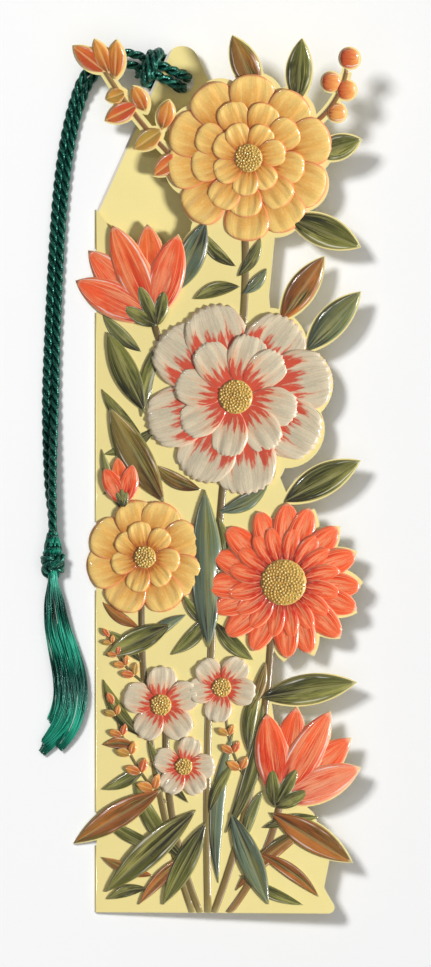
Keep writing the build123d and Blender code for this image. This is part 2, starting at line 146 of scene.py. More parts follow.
# Low leaves that fill the ground: base, tip, left and right bulge, bend to the left, tone
UNDER_LEAVES = [
    ((28.0, 129.0), (20.8, 136.5), 1.4, 1.4, 1.0, 0.45),
    ((28.4, 127.0), (33.0, 134.5), 1.3, 1.3, -0.6, 0.30),
    ((28.8, 125.0), (19.6, 122.5), 1.6, 1.4, -0.8, 0.60),
    ((16.0, 117.0), (9.0, 99.0), 1.6, 1.9, -1.4, 0.50),
    ((12.0, 97.0), (1.4, 91.5), 1.4, 1.4, 1.0, 0.35),
    ((9.0, 112.0), (1.2, 119.5), 1.4, 1.6, 0.6, 0.75),
    ((12.5, 88.0), (1.2, 83.5), 1.5, 1.5, -0.8, 0.60),
    ((21.0, 84.5), (11.5, 89.5), 1.6, 1.6, 0.8, 0.20),
    ((24.5, 80.0), (34.5, 85.5), 1.8, 1.6, -1.0, 0.85),
    ((23.0, 60.0), (15.0, 51.5), 1.6, 1.6, 0.8, 0.70),
    ((24.0, 58.0), (31.5, 50.5), 1.7, 1.5, -0.8, 0.40),
    ((26.5, 63.0), (24.5, 79.0), 1.4, 1.4, -1.2, 0.55),
    ((9.5, 35.0), (1.4, 46.5), 1.6, 1.4, 1.2, 0.50),
    ((8.0, 33.0), (1.2, 33.5), 1.2, 1.2, -0.6, 0.10),
    ((18.8, 9.6), (7.5, 27.5), 1.6, 1.9, 2.0, 0.65),
    ((24.5, 6.0), (27.5, 36.0), 1.5, 1.5, 1.8, 0.90),
    ((26.0, 16.0), (33.5, 41.5), 1.7, 1.5, -1.6, 0.35),
    ((28.0, 4.5), (43.5, 17.5), 1.7, 1.5, 1.2, 0.15),
    ((19.5, 12.0), (8.5, 1.6), 1.4, 1.4, -0.8, 0.05),
    ((32.5, 12.0), (44.6, 3.4), 1.5, 1.4, 0.8, 0.10),
    ((11.4, 7.4), (1.2, 11.0), 1.2, 1.3, 0.6, 0.08),
    ((18.5, 22.0), (10.5, 34.5), 1.3, 1.3, 1.0, 0.45),
    ((30.6, 32.0), (33.0, 45.5), 1.5, 1.4, 1.0, 0.60),
    ((29.4, 123.5), (34.2, 128.5), 1.2, 1.2, -0.5, 0.85),
    ((9.0, 95.5), (1.1, 104.5), 1.3, 1.4, 0.8, 0.30),
    ((5.8, 79.5), (1.1, 92.5), 1.1, 1.2, 0.7, 0.65),
    ((8.6, 57.0), (1.2, 62.0), 1.2, 1.2, 0.6, 0.12),
    ((9.0, 50.0), (1.2, 56.5), 1.3, 1.2, -0.6, 0.55),
    ((9.2, 53.0), (18.0, 59.5), 1.3, 1.3, 0.7, 0.88),
    ((23.4, 57.0), (17.4, 63.5), 1.2, 1.2, 0.6, 0.45),
    ((10.4, 30.0), (1.2, 24.5), 1.3, 1.4, 0.8, 0.40),
    ((13.5, 13.0), (1.4, 19.0), 1.3, 1.4, 1.0, 0.55),
    ((10.2, 4.9), (2.2, 2.6), 1.2, 1.2, -0.6, 0.30),
    ((22.6, 20.0), (27.6, 30.0), 1.2, 1.2, 0.6, 0.50),
    ((29.6, 14.0), (33.4, 24.5), 1.2, 1.3, 0.7, 0.75),
    ((29.0, 7.5), (41.5, 1.7), 1.3, 1.2, -0.6, 0.60),
    ((33.5, 17.0), (44.6, 19.2), 1.2, 1.2, 0.5, 0.35),
    ((30.4, 40.0), (34.0, 50.0), 1.2, 1.2, -0.5, 0.20),
]
# Sprigs on the ground: base, tip, bow to the left, pairs of leaflets and their length
SPRIGS = [
    ((14.0, 22.0), (3.5, 41.5), 1.8, 5, 3.6),
    ((30.5, 26.0), (26.0, 41.0), 1.2, 4, 3.2),
    ((9.4, 46.0), (2.6, 55.0), 0.9, 4, 2.8),
]
# Stems: start, end, bow to the left and width. The last three run among the low leaves
STEM_END = 0.05
STEMS = [
    ((20.6, 146.0), (2.2, 168.2), 1.2, 1.0),
    ((42.0, 156.0), (50.8, 167.8), -1.6, 0.9),
    ((37.4, 25.0), (26.6, STEM_END), 1.8, 1.5),
    ((35.2, 60.0), (23.6, STEM_END), 2.6, 1.5),
    ((14.0, 39.0), (20.8, STEM_END), -2.2, 1.4),
    ((11.2, 120.0), (17.0, 108.0), -1.2, 1.4),
    ((5.6, 82.0), (5.4, 64.0), -1.2, 1.0),
    ((9.2, 67.0), (19.2, STEM_END), -3.2, 1.3),
    ((26.4, 95.0), (22.4, STEM_END), -1.6, 1.5),
    ((29.4, 143.0), (28.8, 112.0), 0.8, 1.5),
]
# Berries: middle, radius and tone
BERRIES = [
    ((51.4, 170.0), 1.6, 0.2), ((50.6, 163.8), 1.5, 0.5), ((47.6, 165.4), 1.5, 0.7), ((48.6, 159.4), 1.4, 0.9),
]
# How far the print runs out into the die-cut margin, and the relief's foot into the sheet
GROWN = 0.45
FOOT_DEPTH = 0.06

# Cord: a hitch round the tab's edge and two strands down to the knot
CORD_DIAMETER, HITCH_DIAMETER, WRAP_DIAMETER, COIL_DIAMETER = 1.8, 2.0, 1.9, 2.1
CORD_LAY, TIGHT_LAY = 6.2, 5.6
CORD_STEP = 0.28
# A ply's radius as a share of the cord's diameter, and how much wider it is pressed into the others
PLY_SHARE, PLY_PRESS = 0.235, 1.06
HITCH_AT = (0.0, 78.6)
HITCH_HEADING = radians(155.6)
# Half the hitch: out from the hole, to one side and above the table
HITCH_OUT, HITCH_ASIDE, HITCH_OVER, HITCH_UNDER = 7.7, 1.1, 4.7, 0.95
HALF_HITCH = [
    (HITCH_OUT, HITCH_ASIDE, HITCH_OVER), (-0.8, HITCH_ASIDE, HITCH_OVER), (-0.8, HITCH_ASIDE, HITCH_UNDER),
    (6.6, 3.3, HITCH_UNDER), (6.6, 3.3, 6.9),
]
# The wrap round the hitch: where it starts, how far it runs in a turn, its middle's level and half sizes
WRAP_START, WRAP_PITCH, WRAP_LEVEL, WRAP_HALF_WIDTH, WRAP_HALF_HEIGHT = 5.9, 1.25, 4.8, 2.7, 1.75
# How far the strands run straight out of the hitch and into the knot
HITCH_LEAD, KNOT_LEAD = 2.0, 3.2
OUTER_ROUTE = [
    (5.4, 171.8, 4.35), (1.8, 171.0, 3.75), (-1.1, 169.0, 3.05), (-3.1, 166.5, 2.3),
    (-4.5, 162.8, 1.45), (-5.95, 157.5, 1.0), (-7.4, 149.6, 1.0), (-8.4, 139.5, 1.0),
    (-9.1, 127.5, 1.0), (-9.7, 115.0, 1.0), (-10.2, 103.0, 1.0), (-10.0, 92.0, 1.0),
    (-9.6, 84.0, 1.1),
]
INNER_ROUTE = [
    (5.1, 169.55, 4.35), (2.3, 169.1, 3.75), (0.0, 167.7, 3.05), (-1.65, 165.5, 2.3),
    (-3.0, 162.2, 1.45), (-4.5, 157.1, 1.0), (-5.95, 149.2, 1.0), (-6.95, 139.0, 1.0),
    (-7.65, 127.0, 1.0), (-8.15, 114.6, 1.0), (-8.35, 103.0, 1.05), (-8.75, 92.4, 2.3),
    (-8.9, 84.0, 3.0),
]
OUTER_LENGTH, INNER_LENGTH = 107.8, 103.7
KNOT_TOP = (-8.8, 75.4, 2.45)
OUTER_KNOT_LEVEL, INNER_KNOT_LEVEL = 1.5, 3.4
# The coil of the knot: drop to its start and in a turn, sway, radius, how that swells, and its flatness
COIL_START, COIL_PITCH, COIL_SWAY, COIL_RADIUS, COIL_SWELL, COIL_FLATNESS = 4.2, 1.05, 0.8, 1.5, 0.14, 0.9
COIL_TURN_STEP = 0.125
# Fringe: neck, then the middle, half width and half height of its sections, and its tip
FRINGE_NECK = (-8.8, 65.98, 2.45)
FRINGE_SECTIONS = [
    (-8.6, 62.4, 1.9, 1.35),
    (-8.0, 56.6, 2.6, 1.55),
    (-6.7, 52.0, 3.0, 1.55),
    (-5.4, 47.2, 3.3, 1.45),
    (-5.1, 42.6, 3.5, 1.35),
    (-6.4, 38.0, 3.5, 1.25),
    (-9.0, 34.6, 3.4, 1.05),
]
FRINGE_TIP = (-11.6, 32.0, 1.0, 3.4, 0.72)
FRINGE_CLEARANCE = 0.18
FRINGE_FLATNESS = 0.84
# How far above the neck the threads start, and two distances above and below it whose places are worked out and
# not used
FRINGE_INSIDE, BLEND_ABOVE, BLEND_BELOW = 1.8, 0.6, 2.4


def metres(place):
    """A place on the table, u, v and z in millimetres, in the frame's metres."""
    u, v, z = place
    return (MM * (FOLD_X + u), MM * (BOTTOM_Y + v), MM * z)


def colour(red, green, blue):
    """A colour as it is seen, 0 to 255, as the shader takes it."""
    seen = np.array([red, green, blue]) / 255
    linear = np.where(seen <= 0.04045, seen / 12.92, ((seen + 0.055) / 1.055) ** 2.4)
    return (*(float(part) for part in linear), 1.0)


# ------------------------------------------------------------------ node trees
GEOMETRY, MATERIAL = "NodeSocketGeometry", "NodeSocketMaterial"
COLOUR, NUMBER = "NodeSocketColor", "NodeSocketFloat"
SOCKET_OF = {int: "NodeSocketInt", float: NUMBER, tuple: "NodeSocketVector"}
UP = (0.0, 0.0, 1.0)
GOLDEN_ANGLE = 2.399963
# Near-white of the painted glint highlight on printed petals and leaves
PAINTED_GLINT_WHITE = (0.93, 0.90, 0.82, 1.0)


class Wire:
    """A node's output that can be added, multiplied and so on like a number."""

    def __init__(self, graph, socket):
        self.graph, self.socket = graph, socket

    def does(self, operation, *others):
        return self.graph.maths(operation, self, *others)

    def __rsub__(self, other):
        return self.graph.maths("SUBTRACT", other, self)

    __add__ = partialmethod(does, "ADD")
    __sub__ = partialmethod(does, "SUBTRACT")
    __mul__ = partialmethod(does, "MULTIPLY")
    __truediv__ = partialmethod(does, "DIVIDE")
    __abs__ = partialmethod(does, "ABSOLUTE")


class Graph:
    """A node tree, with short calls for the nodes that the trees here share."""

    def __init__(self, tree):
        self.tree = tree

    def fill(self, node, inputs):
        """Sets a node's inputs, by socket, to values or wires."""
        for key, value in inputs.items():
            if isinstance(value, Wire):
                self.tree.links.new(value.socket, node.inputs[key])
            else:
                node.inputs[key].default_value = value

    def node(self, kind, inputs, **settings):
        node = self.tree.nodes.new(kind)
        for key, value in settings.items():
            setattr(node, key, value)
        self.fill(node, inputs)
        return node

    def wires(self, kind, inputs, **settings):
        """All outputs of a new node."""
        return [Wire(self, socket) for socket in self.node(kind, inputs, **settings).outputs]

    def wire(self, kind, inputs=None, out=0, **settings):
        """One output of a new node."""
        return Wire(self, self.node(kind, inputs or {}, **settings).outputs[out])

    def group(self, tree, inputs):
        """The outputs of a node group used in this tree."""
        return self.wires(tree.bl_idname.replace("Tree", "Group"), inputs, node_tree=tree)

    def maths(self, operation, *values):
        return self.wire("ShaderNodeMath", dict(enumerate(values)), operation=operation)

    def vector(self, operation, *values):
        return self.wire("ShaderNodeVectorMath", dict(enumerate(values)), "Vector", operation=operation)

    def scaled(self, vector, factor):
        return self.wire("ShaderNodeVectorMath", {0: vector, "Scale": factor}, "Vector", operation="SCALE")

    def dot(self, first, second):
        return self.wire("ShaderNodeVectorMath", {0: first, 1: second}, "Value", operation="DOT_PRODUCT")

    def combine(self, x, y, z):
        return self.wire("ShaderNodeCombineXYZ", {"X": x, "Y": y, "Z": z})

    def split(self, vector):
        return self.wires("ShaderNodeSeparateXYZ", {0: vector})

    def on_circle(self, angle, radius, z):
        """A place at an angle and a distance from the middle."""
        return self.combine(angle.does("COSINE") * radius, angle.does("SINE") * radius, z)

    def step(self, value, low, high, to_low=0.0, to_high=1.0):
        """A smooth step from one level to another."""
        return self.wire(
            "ShaderNodeMapRange",
            {"Value": value, "From Min": low, "From Max": high, "To Min": to_low, "To Max": to_high},
            interpolation_type="SMOOTHSTEP",
        )

    def mix(self, factor, first, second):
        return self.wire("ShaderNodeMix", {0: factor, 6: first, 7: second}, 2, data_type="RGBA")

    def noise(self, vector, scale, detail, roughness=0.5):
        inputs = {"Vector": vector, "Scale": scale, "Detail": detail, "Roughness": roughness}
        return self.wire("ShaderNodeTexNoise", inputs, "Fac")

    def own_place(self):
        return self.wire("ShaderNodeTexCoord", out="Object")

    def attribute(self, label):
        return self.wire("ShaderNodeAttribute", out="Fac", attribute_name=label)


class Group(Graph):
    """A node group; group["label"] is one of its named inputs."""

    def __init__(self, name, inputs, outputs=None):
        """Inputs are default values or kinds of socket. Without outputs it is a geometry tree."""
        super().__init__(bpy.data.node_groups.new(name, "ShaderNodeTree" if outputs else "GeometryNodeTree"))
        add_socket = self.tree.interface.new_socket
        for label, value in inputs.items():
            if isinstance(value, str):
                add_socket(name=label, in_out="INPUT", socket_type=value)
            else:
                item = add_socket(name=label, in_out="INPUT", socket_type=SOCKET_OF[type(value)])
                item.default_value = value
        for label, socket in (outputs or {"Shape": GEOMETRY}).items():
            add_socket(name=label, in_out="OUTPUT", socket_type=socket)
        self.start = self.tree.nodes.new("NodeGroupInput")
        self.end = self.tree.nodes.new("NodeGroupOutput")

    def __getitem__(self, label):
        return Wire(self, self.start.outputs[label])

    def give(self, *results):
        """Links the results to the group's outputs, in their order."""
        for wire, socket in zip(results, self.end.inputs):
            self.tree.links.new(wire.socket, socket)

    def index(self):
        return self.wire("GeometryNodeInputIndex")

    def random(self, low, high, seed, identity=None):
        inputs = {2: low, 3: high, "Seed": seed}
        if identity is not None:
            inputs["ID"] = identity
        return self.wire("FunctionNodeRandomValue", inputs, 1, data_type="FLOAT")

    def points(self, count, spot):
        return self.wire("GeometryNodePoints", {"Count": count, "Position": spot})

    def copies(self, points, instance, **inputs):
        return self.wire("GeometryNodeInstanceOnPoints", {"Points": points, "Instance": instance, **inputs})

    def store(self, geometry, label, value, domain, kind="FLOAT"):
        inputs = {"Geometry": geometry, "Name": label, "Value": value}
        return self.wire("GeometryNodeStoreNamedAttribute", inputs, data_type=kind, domain=domain)

    def moved(self, geometry, spot):
        return self.wire("GeometryNodeSetPosition", {"Geometry": geometry, "Position": spot})

    def realised(self, geometry):
        return self.wire("GeometryNodeRealizeInstances", {"Geometry": geometry})

    def smoothed(self, geometry):
        return self.wire("GeometryNodeSetShadeSmooth", {"Geometry": geometry})

    def circle(self, corners, radius):
        inputs = {"Resolution": corners, "Radius": radius}
        return self.wire("GeometryNodeCurvePrimitiveCircle", inputs, mode="RADIUS")

    def tubes(self, lines, section):
        inputs = {"Curve": lines, "Profile Curve": section, "Fill Caps": True}
        return self.smoothed(self.wire("GeometryNodeCurveToMesh", inputs))

    def finish(self, geometry, on_leaf=False):
        """Ends a geometry tree: realised, laid on the leaf if it is relief, with its material."""
        whole = self.realised(geometry)
        if on_leaf:
            whole = self.group(LAY_ON_LEAF, {"Relief": whole})[0]
        self.give(self.wire("GeometryNodeSetMaterial", {"Geometry": whole, "Material": self["Material"]}))
        return self.tree


def add_object(name, data):
    made = bpy.data.objects.new(name, data)
    bpy.context.scene.collection.objects.link(made)
    return made


def run_tree(obj, tree, values):
    """Puts a tree on an object with its named values and turns the result into a plain mesh."""
    modifier = obj.modifiers.new(tree.name, "NODES")
    modifier.node_group = tree
    sockets = {item.name: item.identifier for item in tree.interface.items_tree if item.in_out == "INPUT"}
    for label, value in values.items():
        modifier[sockets[label]] = value
    shapes = bpy.context.evaluated_depsgraph_get()
    mesh = bpy.data.meshes.new_from_object(
        obj.evaluated_get(shapes), preserve_all_data_layers=True, depsgraph=shapes
    )
    name = obj.name
    bpy.data.objects.remove(obj)
    return add_object(name, mesh)


def join_pieces(name, objects):
    """One object from several, with their materials, UVs and attributes."""
    first = objects[0]
    if len(objects) > 1:
        with bpy.context.temp_override(
            active_object=first, object=first, selected_objects=objects, selected_editable_objects=objects
        ):
            bpy.ops.object.join()
    first.name = name
    first.data.name = name
    return first


def declare(piece, body, node):
    """A finished piece that rides on a body in place of a CAD node."""
    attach(piece, body)
    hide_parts(node)


def lay_on_leaf_tree():
    """Bows and tilts flat millimetre places u, v, h as the front leaf lies, into metres."""
    group = Group(
        "lay_on_leaf",
        {"Relief": GEOMETRY, "Bow Start": BOW_START, "Bow Radius": FRONT_BOW_RADIUS, "Opening": REST_OPENING},
    )
    u, v, h = group.split(group.wire("GeometryNodeInputPosition"))
    past = (v - group["Bow Start"]).does("MAXIMUM", 0.0)
    inside = group["Bow Radius"] - h
    lift = group["Bow Radius"] - (inside * inside - past * past).does("SQRT")
    turn_cos, turn_sin = group["Opening"].does("COSINE"), group["Opening"].does("SINE")
    bowed = group.combine(u * turn_cos - lift * turn_sin, v, u * turn_sin + lift * turn_cos)
    in_frame = group.vector("ADD", bowed, (FOLD_X, BOTTOM_Y, FOLD_Z))
    group.give(group.moved(group["Relief"], group.scaled(in_frame, MM)))
    return group.tree


LAY_ON_LEAF = lay_on_leaf_tree()


def pressed_tree():
    """A flat relief piece pressed up from the leaf."""
    group = Group("pressed_relief", {"Relief": GEOMETRY, "Material": MATERIAL})
    return group.finish(group["Relief"], on_leaf=True)


def petal_ring_tree():
    """A ring of petals round a bloom's centre, each a little turned, leant and sized by itself."""
    group = Group(
        "petal_ring",
        {
            "Petal": GEOMETRY, "Count": 8, "Base Distance": 1.0, "Turn": 0.0, "Lean": 0.05, "Spread": 0.08,
            "Centre": (0.0, 0.0, 0.0), "Seed": 1, "Material": MATERIAL,
        },
    )
    number, seed = group.index(), group["Seed"]
    stray = group.random(-1.0, 1.0, seed, number) * group["Spread"]
    angle = (number + stray) / group["Count"] * TURN + group["Turn"]
    base = group.on_circle(angle, group["Base Distance"], 0.0)
    points = group.points(group["Count"], group.vector("ADD", base, group["Centre"]))
    lean = group.random(0.6, 1.3, seed + 101.0, number) * group["Lean"]
    size = group.random(0.95, 1.03, seed + 202.0, number)
    ring = group.copies(
        points, group["Petal"],
        Rotation=group.combine(lean, 0.0, angle), Scale=group.combine(size, size, 1.0),
    )
    tone = group.random(0.0, 1.0, seed + 303.0, number)
    return group.finish(group.store(ring, "tone", tone, "INSTANCE"), on_leaf=True)


def bead_disc_tree():
    """A bloom's heart: small beads set in a sunflower spiral on a low dome."""
    group = Group(
        "bead_disc",
        {
            "Dome": GEOMETRY, "Count": 60, "Radius": 3.0, "Bead Radius": 0.25, "Crown": 0.4,
            "Centre": (0.0, 0.0, 0.0), "Seed": 1, "Material": MATERIAL,
        },
    )
    number = group.index()
    share = (number + 0.5) / group["Count"]
    distance = share.does("SQRT") * group["Radius"]
    spot = group.on_circle(number * GOLDEN_ANGLE, distance, (1.0 - share) * group["Crown"])
    points = group.points(group["Count"], group.vector("ADD", spot, group["Centre"]))
    bead = group.wire(
        "GeometryNodeMeshUVSphere", {"Segments": 7, "Rings": 5, "Radius": group["Bead Radius"]}, "Mesh"
    )
    size = group.random(0.7, 1.25, group["Seed"], number)
    beads = group.copies(points, bead, Scale=group.combine(size, size, size))
    toned = group.store(beads, "tone", group.random(0.0, 1.0, 9), "INSTANCE")
    both = group.node("GeometryNodeJoinGeometry", {})
    for shape in (group["Dome"], group.smoothed(group.realised(toned))):
        group.fill(both, {0: shape})
    return group.finish(Wire(group, both.outputs[0]), on_leaf=True)


def twisted_cord_tree():
    """Plies twisted round a path, with how far along and round they are for the yarn's look."""
    group = Group(
        "twisted_cord",
        {
            "Path": GEOMETRY, "Plies": 3, "Ply Radius": 0.00045, "Ply Offset": 0.00046, "Lay": 0.0062,
            "Step": 0.0003, "Material": MATERIAL,
        },
    )
    line = group.wire("GeometryNodeMeshToCurve", {"Mesh": group["Path"]})
    even = group.wire("GeometryNodeResampleCurve", {"Curve": line, "Length": group["Step"]}, mode="LENGTH")
    run = group.wire("GeometryNodeSplineParameter", out="Length")
    twisted = group.wire("GeometryNodeSetCurveTilt", {"Curve": even, "Tilt": run / group["Lay"] * -TURN})
    angle = group.index() / group["Plies"] * TURN
    points = group.points(group["Plies"], group.on_circle(angle, group["Ply Offset"], 0.0))
    plies = group.copies(
        points, group.circle(10, group["Ply Radius"]), Rotation=group.combine(0.0, 0.0, angle)
    )
    around = group.wire("GeometryNodeSplineParameter", out="Factor")
    section = group.store(group.realised(plies), "around", around, "POINT")
    return group.finish(group.tubes(group.store(twisted, "along", run, "POINT"), section))


def fringe_tree():
    """Threads that run down a path inside its half widths and heights and gather into locks."""
    group = Group(
        "fringe_threads",
        {
            "Path": GEOMETRY, "Threads": 400, "Steps": 26, "Thread Radius": 0.00013, "Locks": 9,
            "Gather": 0.5, "Shortest": 0.88, "Seed": 4, "Material": MATERIAL,
        },
    )
    number = group.index()

    def own(low, high, more, identity=number):
        return group.random(low, high, group["Seed"] + more, identity)

    def named(label, kind="FLOAT"):
        return group.wire("GeometryNodeInputNamedAttribute", {"Name": label}, data_type=kind)

    lock = (own(0.0, 0.9999, 3.0) * group["Locks"]).does("FLOOR")
    spread = group.on_circle(own(0.0, TURN, 1.0), own(0.0, 1.0, 2.0).does("SQRT"), own(0.0, 6.0, 4.0))
    gathered = group.combine(
        (lock + 0.5) / group["Locks"] * 2.1 - 1.05, (lock * 2.4).does("SINE") * 0.5, lock * 1.7
    )
    shortest = group["Shortest"]
    reach = own(0.0, 1.0, 5.0, lock) * (0.97 - shortest) + shortest + own(0.0, 0.03, 6.0)
    straight = group.wire("GeometryNodeCurvePrimitiveLine", {"Start": (0.0, 0.0, 0.0), "End": UP})
    thread = group.wire("GeometryNodeResampleCurve", {"Curve": straight, "Count": group["Steps"]}, mode="COUNT")
    rows = group.copies(group.points(group["Threads"], (0.0, 0.0, 0.0)), thread)
    for label, value, kind in (
        ("spread", spread, "FLOAT_VECTOR"),
        ("gathered", gathered, "FLOAT_VECTOR"),
        ("reach", reach, "FLOAT"),
        ("tone", own(0.0, 1.0, 7.0), "FLOAT"),
        ("lock_tone", own(0.0, 1.0, 8.0, lock), "FLOAT"),
    ):
        rows = group.store(rows, label, value, "INSTANCE", kind)

    down = group.split(group.wire("GeometryNodeInputPosition"))[2] * named("reach")
    pull = down.does("POWER", 2.2) * group["Gather"]
    own_x, own_y, own_phase = group.split(named("spread", "FLOAT_VECTOR"))
    lock_x, lock_y, lock_phase = group.split(named("gathered", "FLOAT_VECTOR"))
    sway = (down * 8.0 + own_phase).does("SINE") * 0.05
    billow = (down * 11.0 + lock_phase).does("SINE") * 0.22
    across = (lock_x - own_x) * pull + own_x + sway
    over = (lock_y - own_y) * pull + own_y + billow
    line = group.wire("GeometryNodeMeshToCurve", {"Mesh": group["Path"]})

    def sampled(label):
        inputs = {"Curves": line, "Value": named(label), "Factor": down}
        node = group.node("GeometryNodeSampleCurve", inputs, mode="FACTOR", data_type="FLOAT")
        return [Wire(group, node.outputs[output]) for output in ("Value", "Position", "Tangent")]

    half_width, middle, tangent = sampled("half_width")
    half_height = sampled("half_height")[0]
    side = group.vector("NORMALIZE", group.vector("CROSS_PRODUCT", tangent, UP))
    aside = group.scaled(side, across * half_width)
    spot = group.vector("ADD", group.vector("ADD", middle, aside), group.combine(0.0, 0.0, over * half_height))
    hung = group.moved(group.realised(rows), spot)
    marked = group.store(hung, "along", group.wire("GeometryNodeSplineParameter", out="Factor"), "POINT")
    return group.finish(group.tubes(marked, group.circle(4, group["Thread Radius"])))


# ------------------------------------------------------------------ shared surface effects
def print_grain_group():
    """Fine grain of the print and a slow unevenness of the ink, on the piece's own coordinates."""
    group = Group(
        "print_grain", {"Colour": COLOUR, "Amount": 0.1},
        {"Colour": COLOUR, "Height": NUMBER, "Roughness": NUMBER},
    )
    spot = group.own_place()
    fine, slow = group.noise(spot, 3200.0, 2.0), group.noise(spot, 160.0, 3.0)
    blend = fine * 0.65 + slow * 0.35
    level = (blend - 0.5) * group["Amount"] * 2.0 + 1.0
    group.give(group.scaled(group["Colour"], level), blend, group.step(slow, 0.2, 0.8, 0.26, 0.44))
    return group.tree


def brush_paint_group():
    """Brushed print along a petal or leaf: base to tip, streaks, a flare at the base and a rim, and a painted
    glint highlight.
    """
    inks = ("Base", "Tip", "Shade", "Flare", "Rim", "Warm", "Cool")
    group = Group(
        "brush_paint",
        {
            **{ink: COLOUR for ink in inks},
            "Flare Reach": 0.4, "Streaks": 1.0, "Rim Width": 0.12, "Shade Amount": 0.6, "Tint": 0.5,
            "Dark Half": 0.0, "Midrib": 0.0, "Glint": 0.6,
        },
        {"Colour": COLOUR, "Height": NUMBER},
    )
    along, across, _ = group.split(group.wire("ShaderNodeUVMap", uv_map="UVMap"))
    tone = group.attribute("tone")
    side = abs(across - 0.5) * 2.0

    def streak(scale_along, scale_across, shift):
        spot = group.combine(along * scale_along, across * scale_across, tone * 37.0 + shift)
        return group.noise(spot, 1.0, 3.0, 0.6)

    fine, bold, patch = streak(1.6, 26.0, 0.0), streak(2.2, 9.0, 11.0), streak(1.8, 2.4, 23.0)
    wander = (bold - 0.5) * group["Streaks"]
    up = along + wander + (tone * 0.4 - 0.2)
    paint = group.mix(group.step(up, 0.15, 0.9), group["Base"], group["Tip"])
    flare_edge = wander * 0.9 + along + side * 0.12 - group["Flare Reach"]
    for ink, cover in (
        ("Shade", group.step(patch, 0.45, 0.65) * group["Shade Amount"]),
        ("Shade", group.step(fine, 0.52, 0.66) * (group["Streaks"] * 0.55)),
        ("Flare", (1.0 - group.step(flare_edge, -0.12, 0.06)) * 0.92),
        ("Warm", (1.0 - group.step(tone, 0.08, 0.3)) * group["Tint"] * group.step(patch, 0.25, 0.6)),
        ("Cool", group.step(tone, 0.7, 0.85) * group["Tint"] * group.step(bold, 0.3, 0.6)),
    ):
        paint = group.mix(cover, paint, group[ink])
    paint = group.scaled(paint, 1.0 - group.step(across, 0.46, 0.54) * group["Dark Half"])
    paint = group.mix((1.0 - group.step(side, 0.05, 0.16)) * group["Midrib"], paint, group["Rim"])
    edge = side.does("MAXIMUM", abs(along * 2.0 - 1.0))
    rim = group.step(edge - (1.0 - group["Rim Width"]), -0.06, 0.06)
    paint = group.mix(rim * 0.8, paint, group["Rim"])
    # Painted highlight: a thin near-white glint line along one side of each piece stands in for the gloss on
    # its embossed ridge; partly a printed white line as well
    off_line = abs(side - (bold * 0.3 + 0.62))
    reach = group.step(along, 0.2, 0.4) * group.step(patch, 0.42, 0.56)
    glint = (1.0 - group.step(off_line, 0.015, 0.06)) * reach
    paint = group.mix(glint * group["Glint"], paint, PAINTED_GLINT_WHITE)
    group.give(paint, glint * 0.8 + (bold * 1.5 + fine))
    return group.tree


PRINT_GRAIN = print_grain_group()
BRUSH_PAINT = brush_paint_group()


class Surface(Graph):
    """A material's tree with its shader."""

    def __init__(self, name):
        self.material = bpy.data.materials.new(name)
        self.material.use_nodes = True
        super().__init__(self.material.node_tree)

    def finish(self, inputs):
        """Sets the shader's inputs and gives the material."""
        self.fill(self.tree.nodes["Principled BSDF"], inputs)
        return self.material

    def bump(self, height, strength, depth):
        return self.wire("ShaderNodeBump", {"Height": height, "Strength": strength, "Distance": depth})

    def ramp(self, level, low, middle, high):
        """Colours by level; each stop is a level and a colour as it is seen."""
        node = self.node("ShaderNodeValToRGB", {0: level})
        for element, (spot, seen) in zip(node.color_ramp.elements, (low, high)):
            element.position, element.color = spot, colour(*seen)
        node.color_ramp.elements.new(middle[0]).color = colour(*middle[1])
        return Wire(self, node.outputs[0])

    def printed(self, ink, amount, depth, height=None):
        """Ends a printed surface: grain, gloss coat and fine relief."""
        inked, level, roughness = self.group(PRINT_GRAIN, {"Colour": ink, "Amount": amount})
        return self.finish({
            "Base Color": inked, "Roughness": roughness, "Normal": self.bump(height or level, 0.5, depth),
            "Coat Weight": 0.8, "Coat Roughness": 0.07,
        })


def painted_material(name, **paint):
    """Print with brushed colours and a painted glint highlight, gloss coated; the values are the inputs of
    brush_paint.
    """
    surface = Surface(name)
    inputs = {
        label.replace("_", " ").title(): colour(*value) if isinstance(value, tuple) else value
        for label, value in paint.items()
    }
    ink, height = surface.group(BRUSH_PAINT, inputs)
    return surface.printed(ink, amount=0.22, depth=0.00008, height=height)


def card_material(name, is_back):
    """Coated card, pale yellow on both faces, with a whitish cut edge and slanted margin."""
    surface = Surface(name)
    upward = surface.dot(surface.wire("ShaderNodeTexCoord", out="Normal"), UP)
    ground = surface.mix(surface.step(abs(upward), 0.35, 0.6), colour(226, 222, 205), colour(243, 226, 152))
    from_edge = surface.vector("SUBTRACT", surface.own_place(), metres((0.0, FOLD_LENGTH, 0.0)))
    inward = surface.dot(from_edge, (sin(SLANT_HEADING), -cos(SLANT_HEADING), 0.0))
    margin = (1.0 - surface.step(inward, 0.0004, 0.0006)) * is_back
    edged = surface.mix(margin, ground, colour(214, 208, 198))
    return surface.printed(edged, amount=0.06, depth=0.00002)


def yarn_material(fibres=5.0, slant=260.0):
    """Shiny rayon yarn: fine fibres along the ply, with painted shade: darker in the grooves, lighter on the
    crests.
    """
    surface = Surface("cord_rayon")
    around = surface.attribute("around")
    lean = surface.attribute("along") * slant + around
    fibre = (lean * (TURN * fibres)).does("SINE") * 0.5 + 0.5
    # Painted shade: the plies are coloured darker in the grooves between them and lighter on their crests,
    # where light would fall
    painted_crest_light = surface.step((around * TURN).does("COSINE"), -0.3, 0.95)
    mottle = surface.noise(surface.own_place(), 900.0, 3.0)
    level = painted_crest_light * 0.5 + (fibre * 0.25 + mottle * 0.3)
    return surface.finish({
        "Base Color": surface.ramp(level, (0.25, (0, 10, 8)), (0.62, (0, 44, 36)), (0.95, (20, 112, 90))),
        "Roughness": surface.step(mottle, 0.3, 0.7, 0.2, 0.36),
        "Normal": surface.bump(fibre, 0.6, 0.00006),
        "Specular IOR Level": 1.0, "Specular Tint": (0.35, 1.0, 0.8, 1.0),
    })


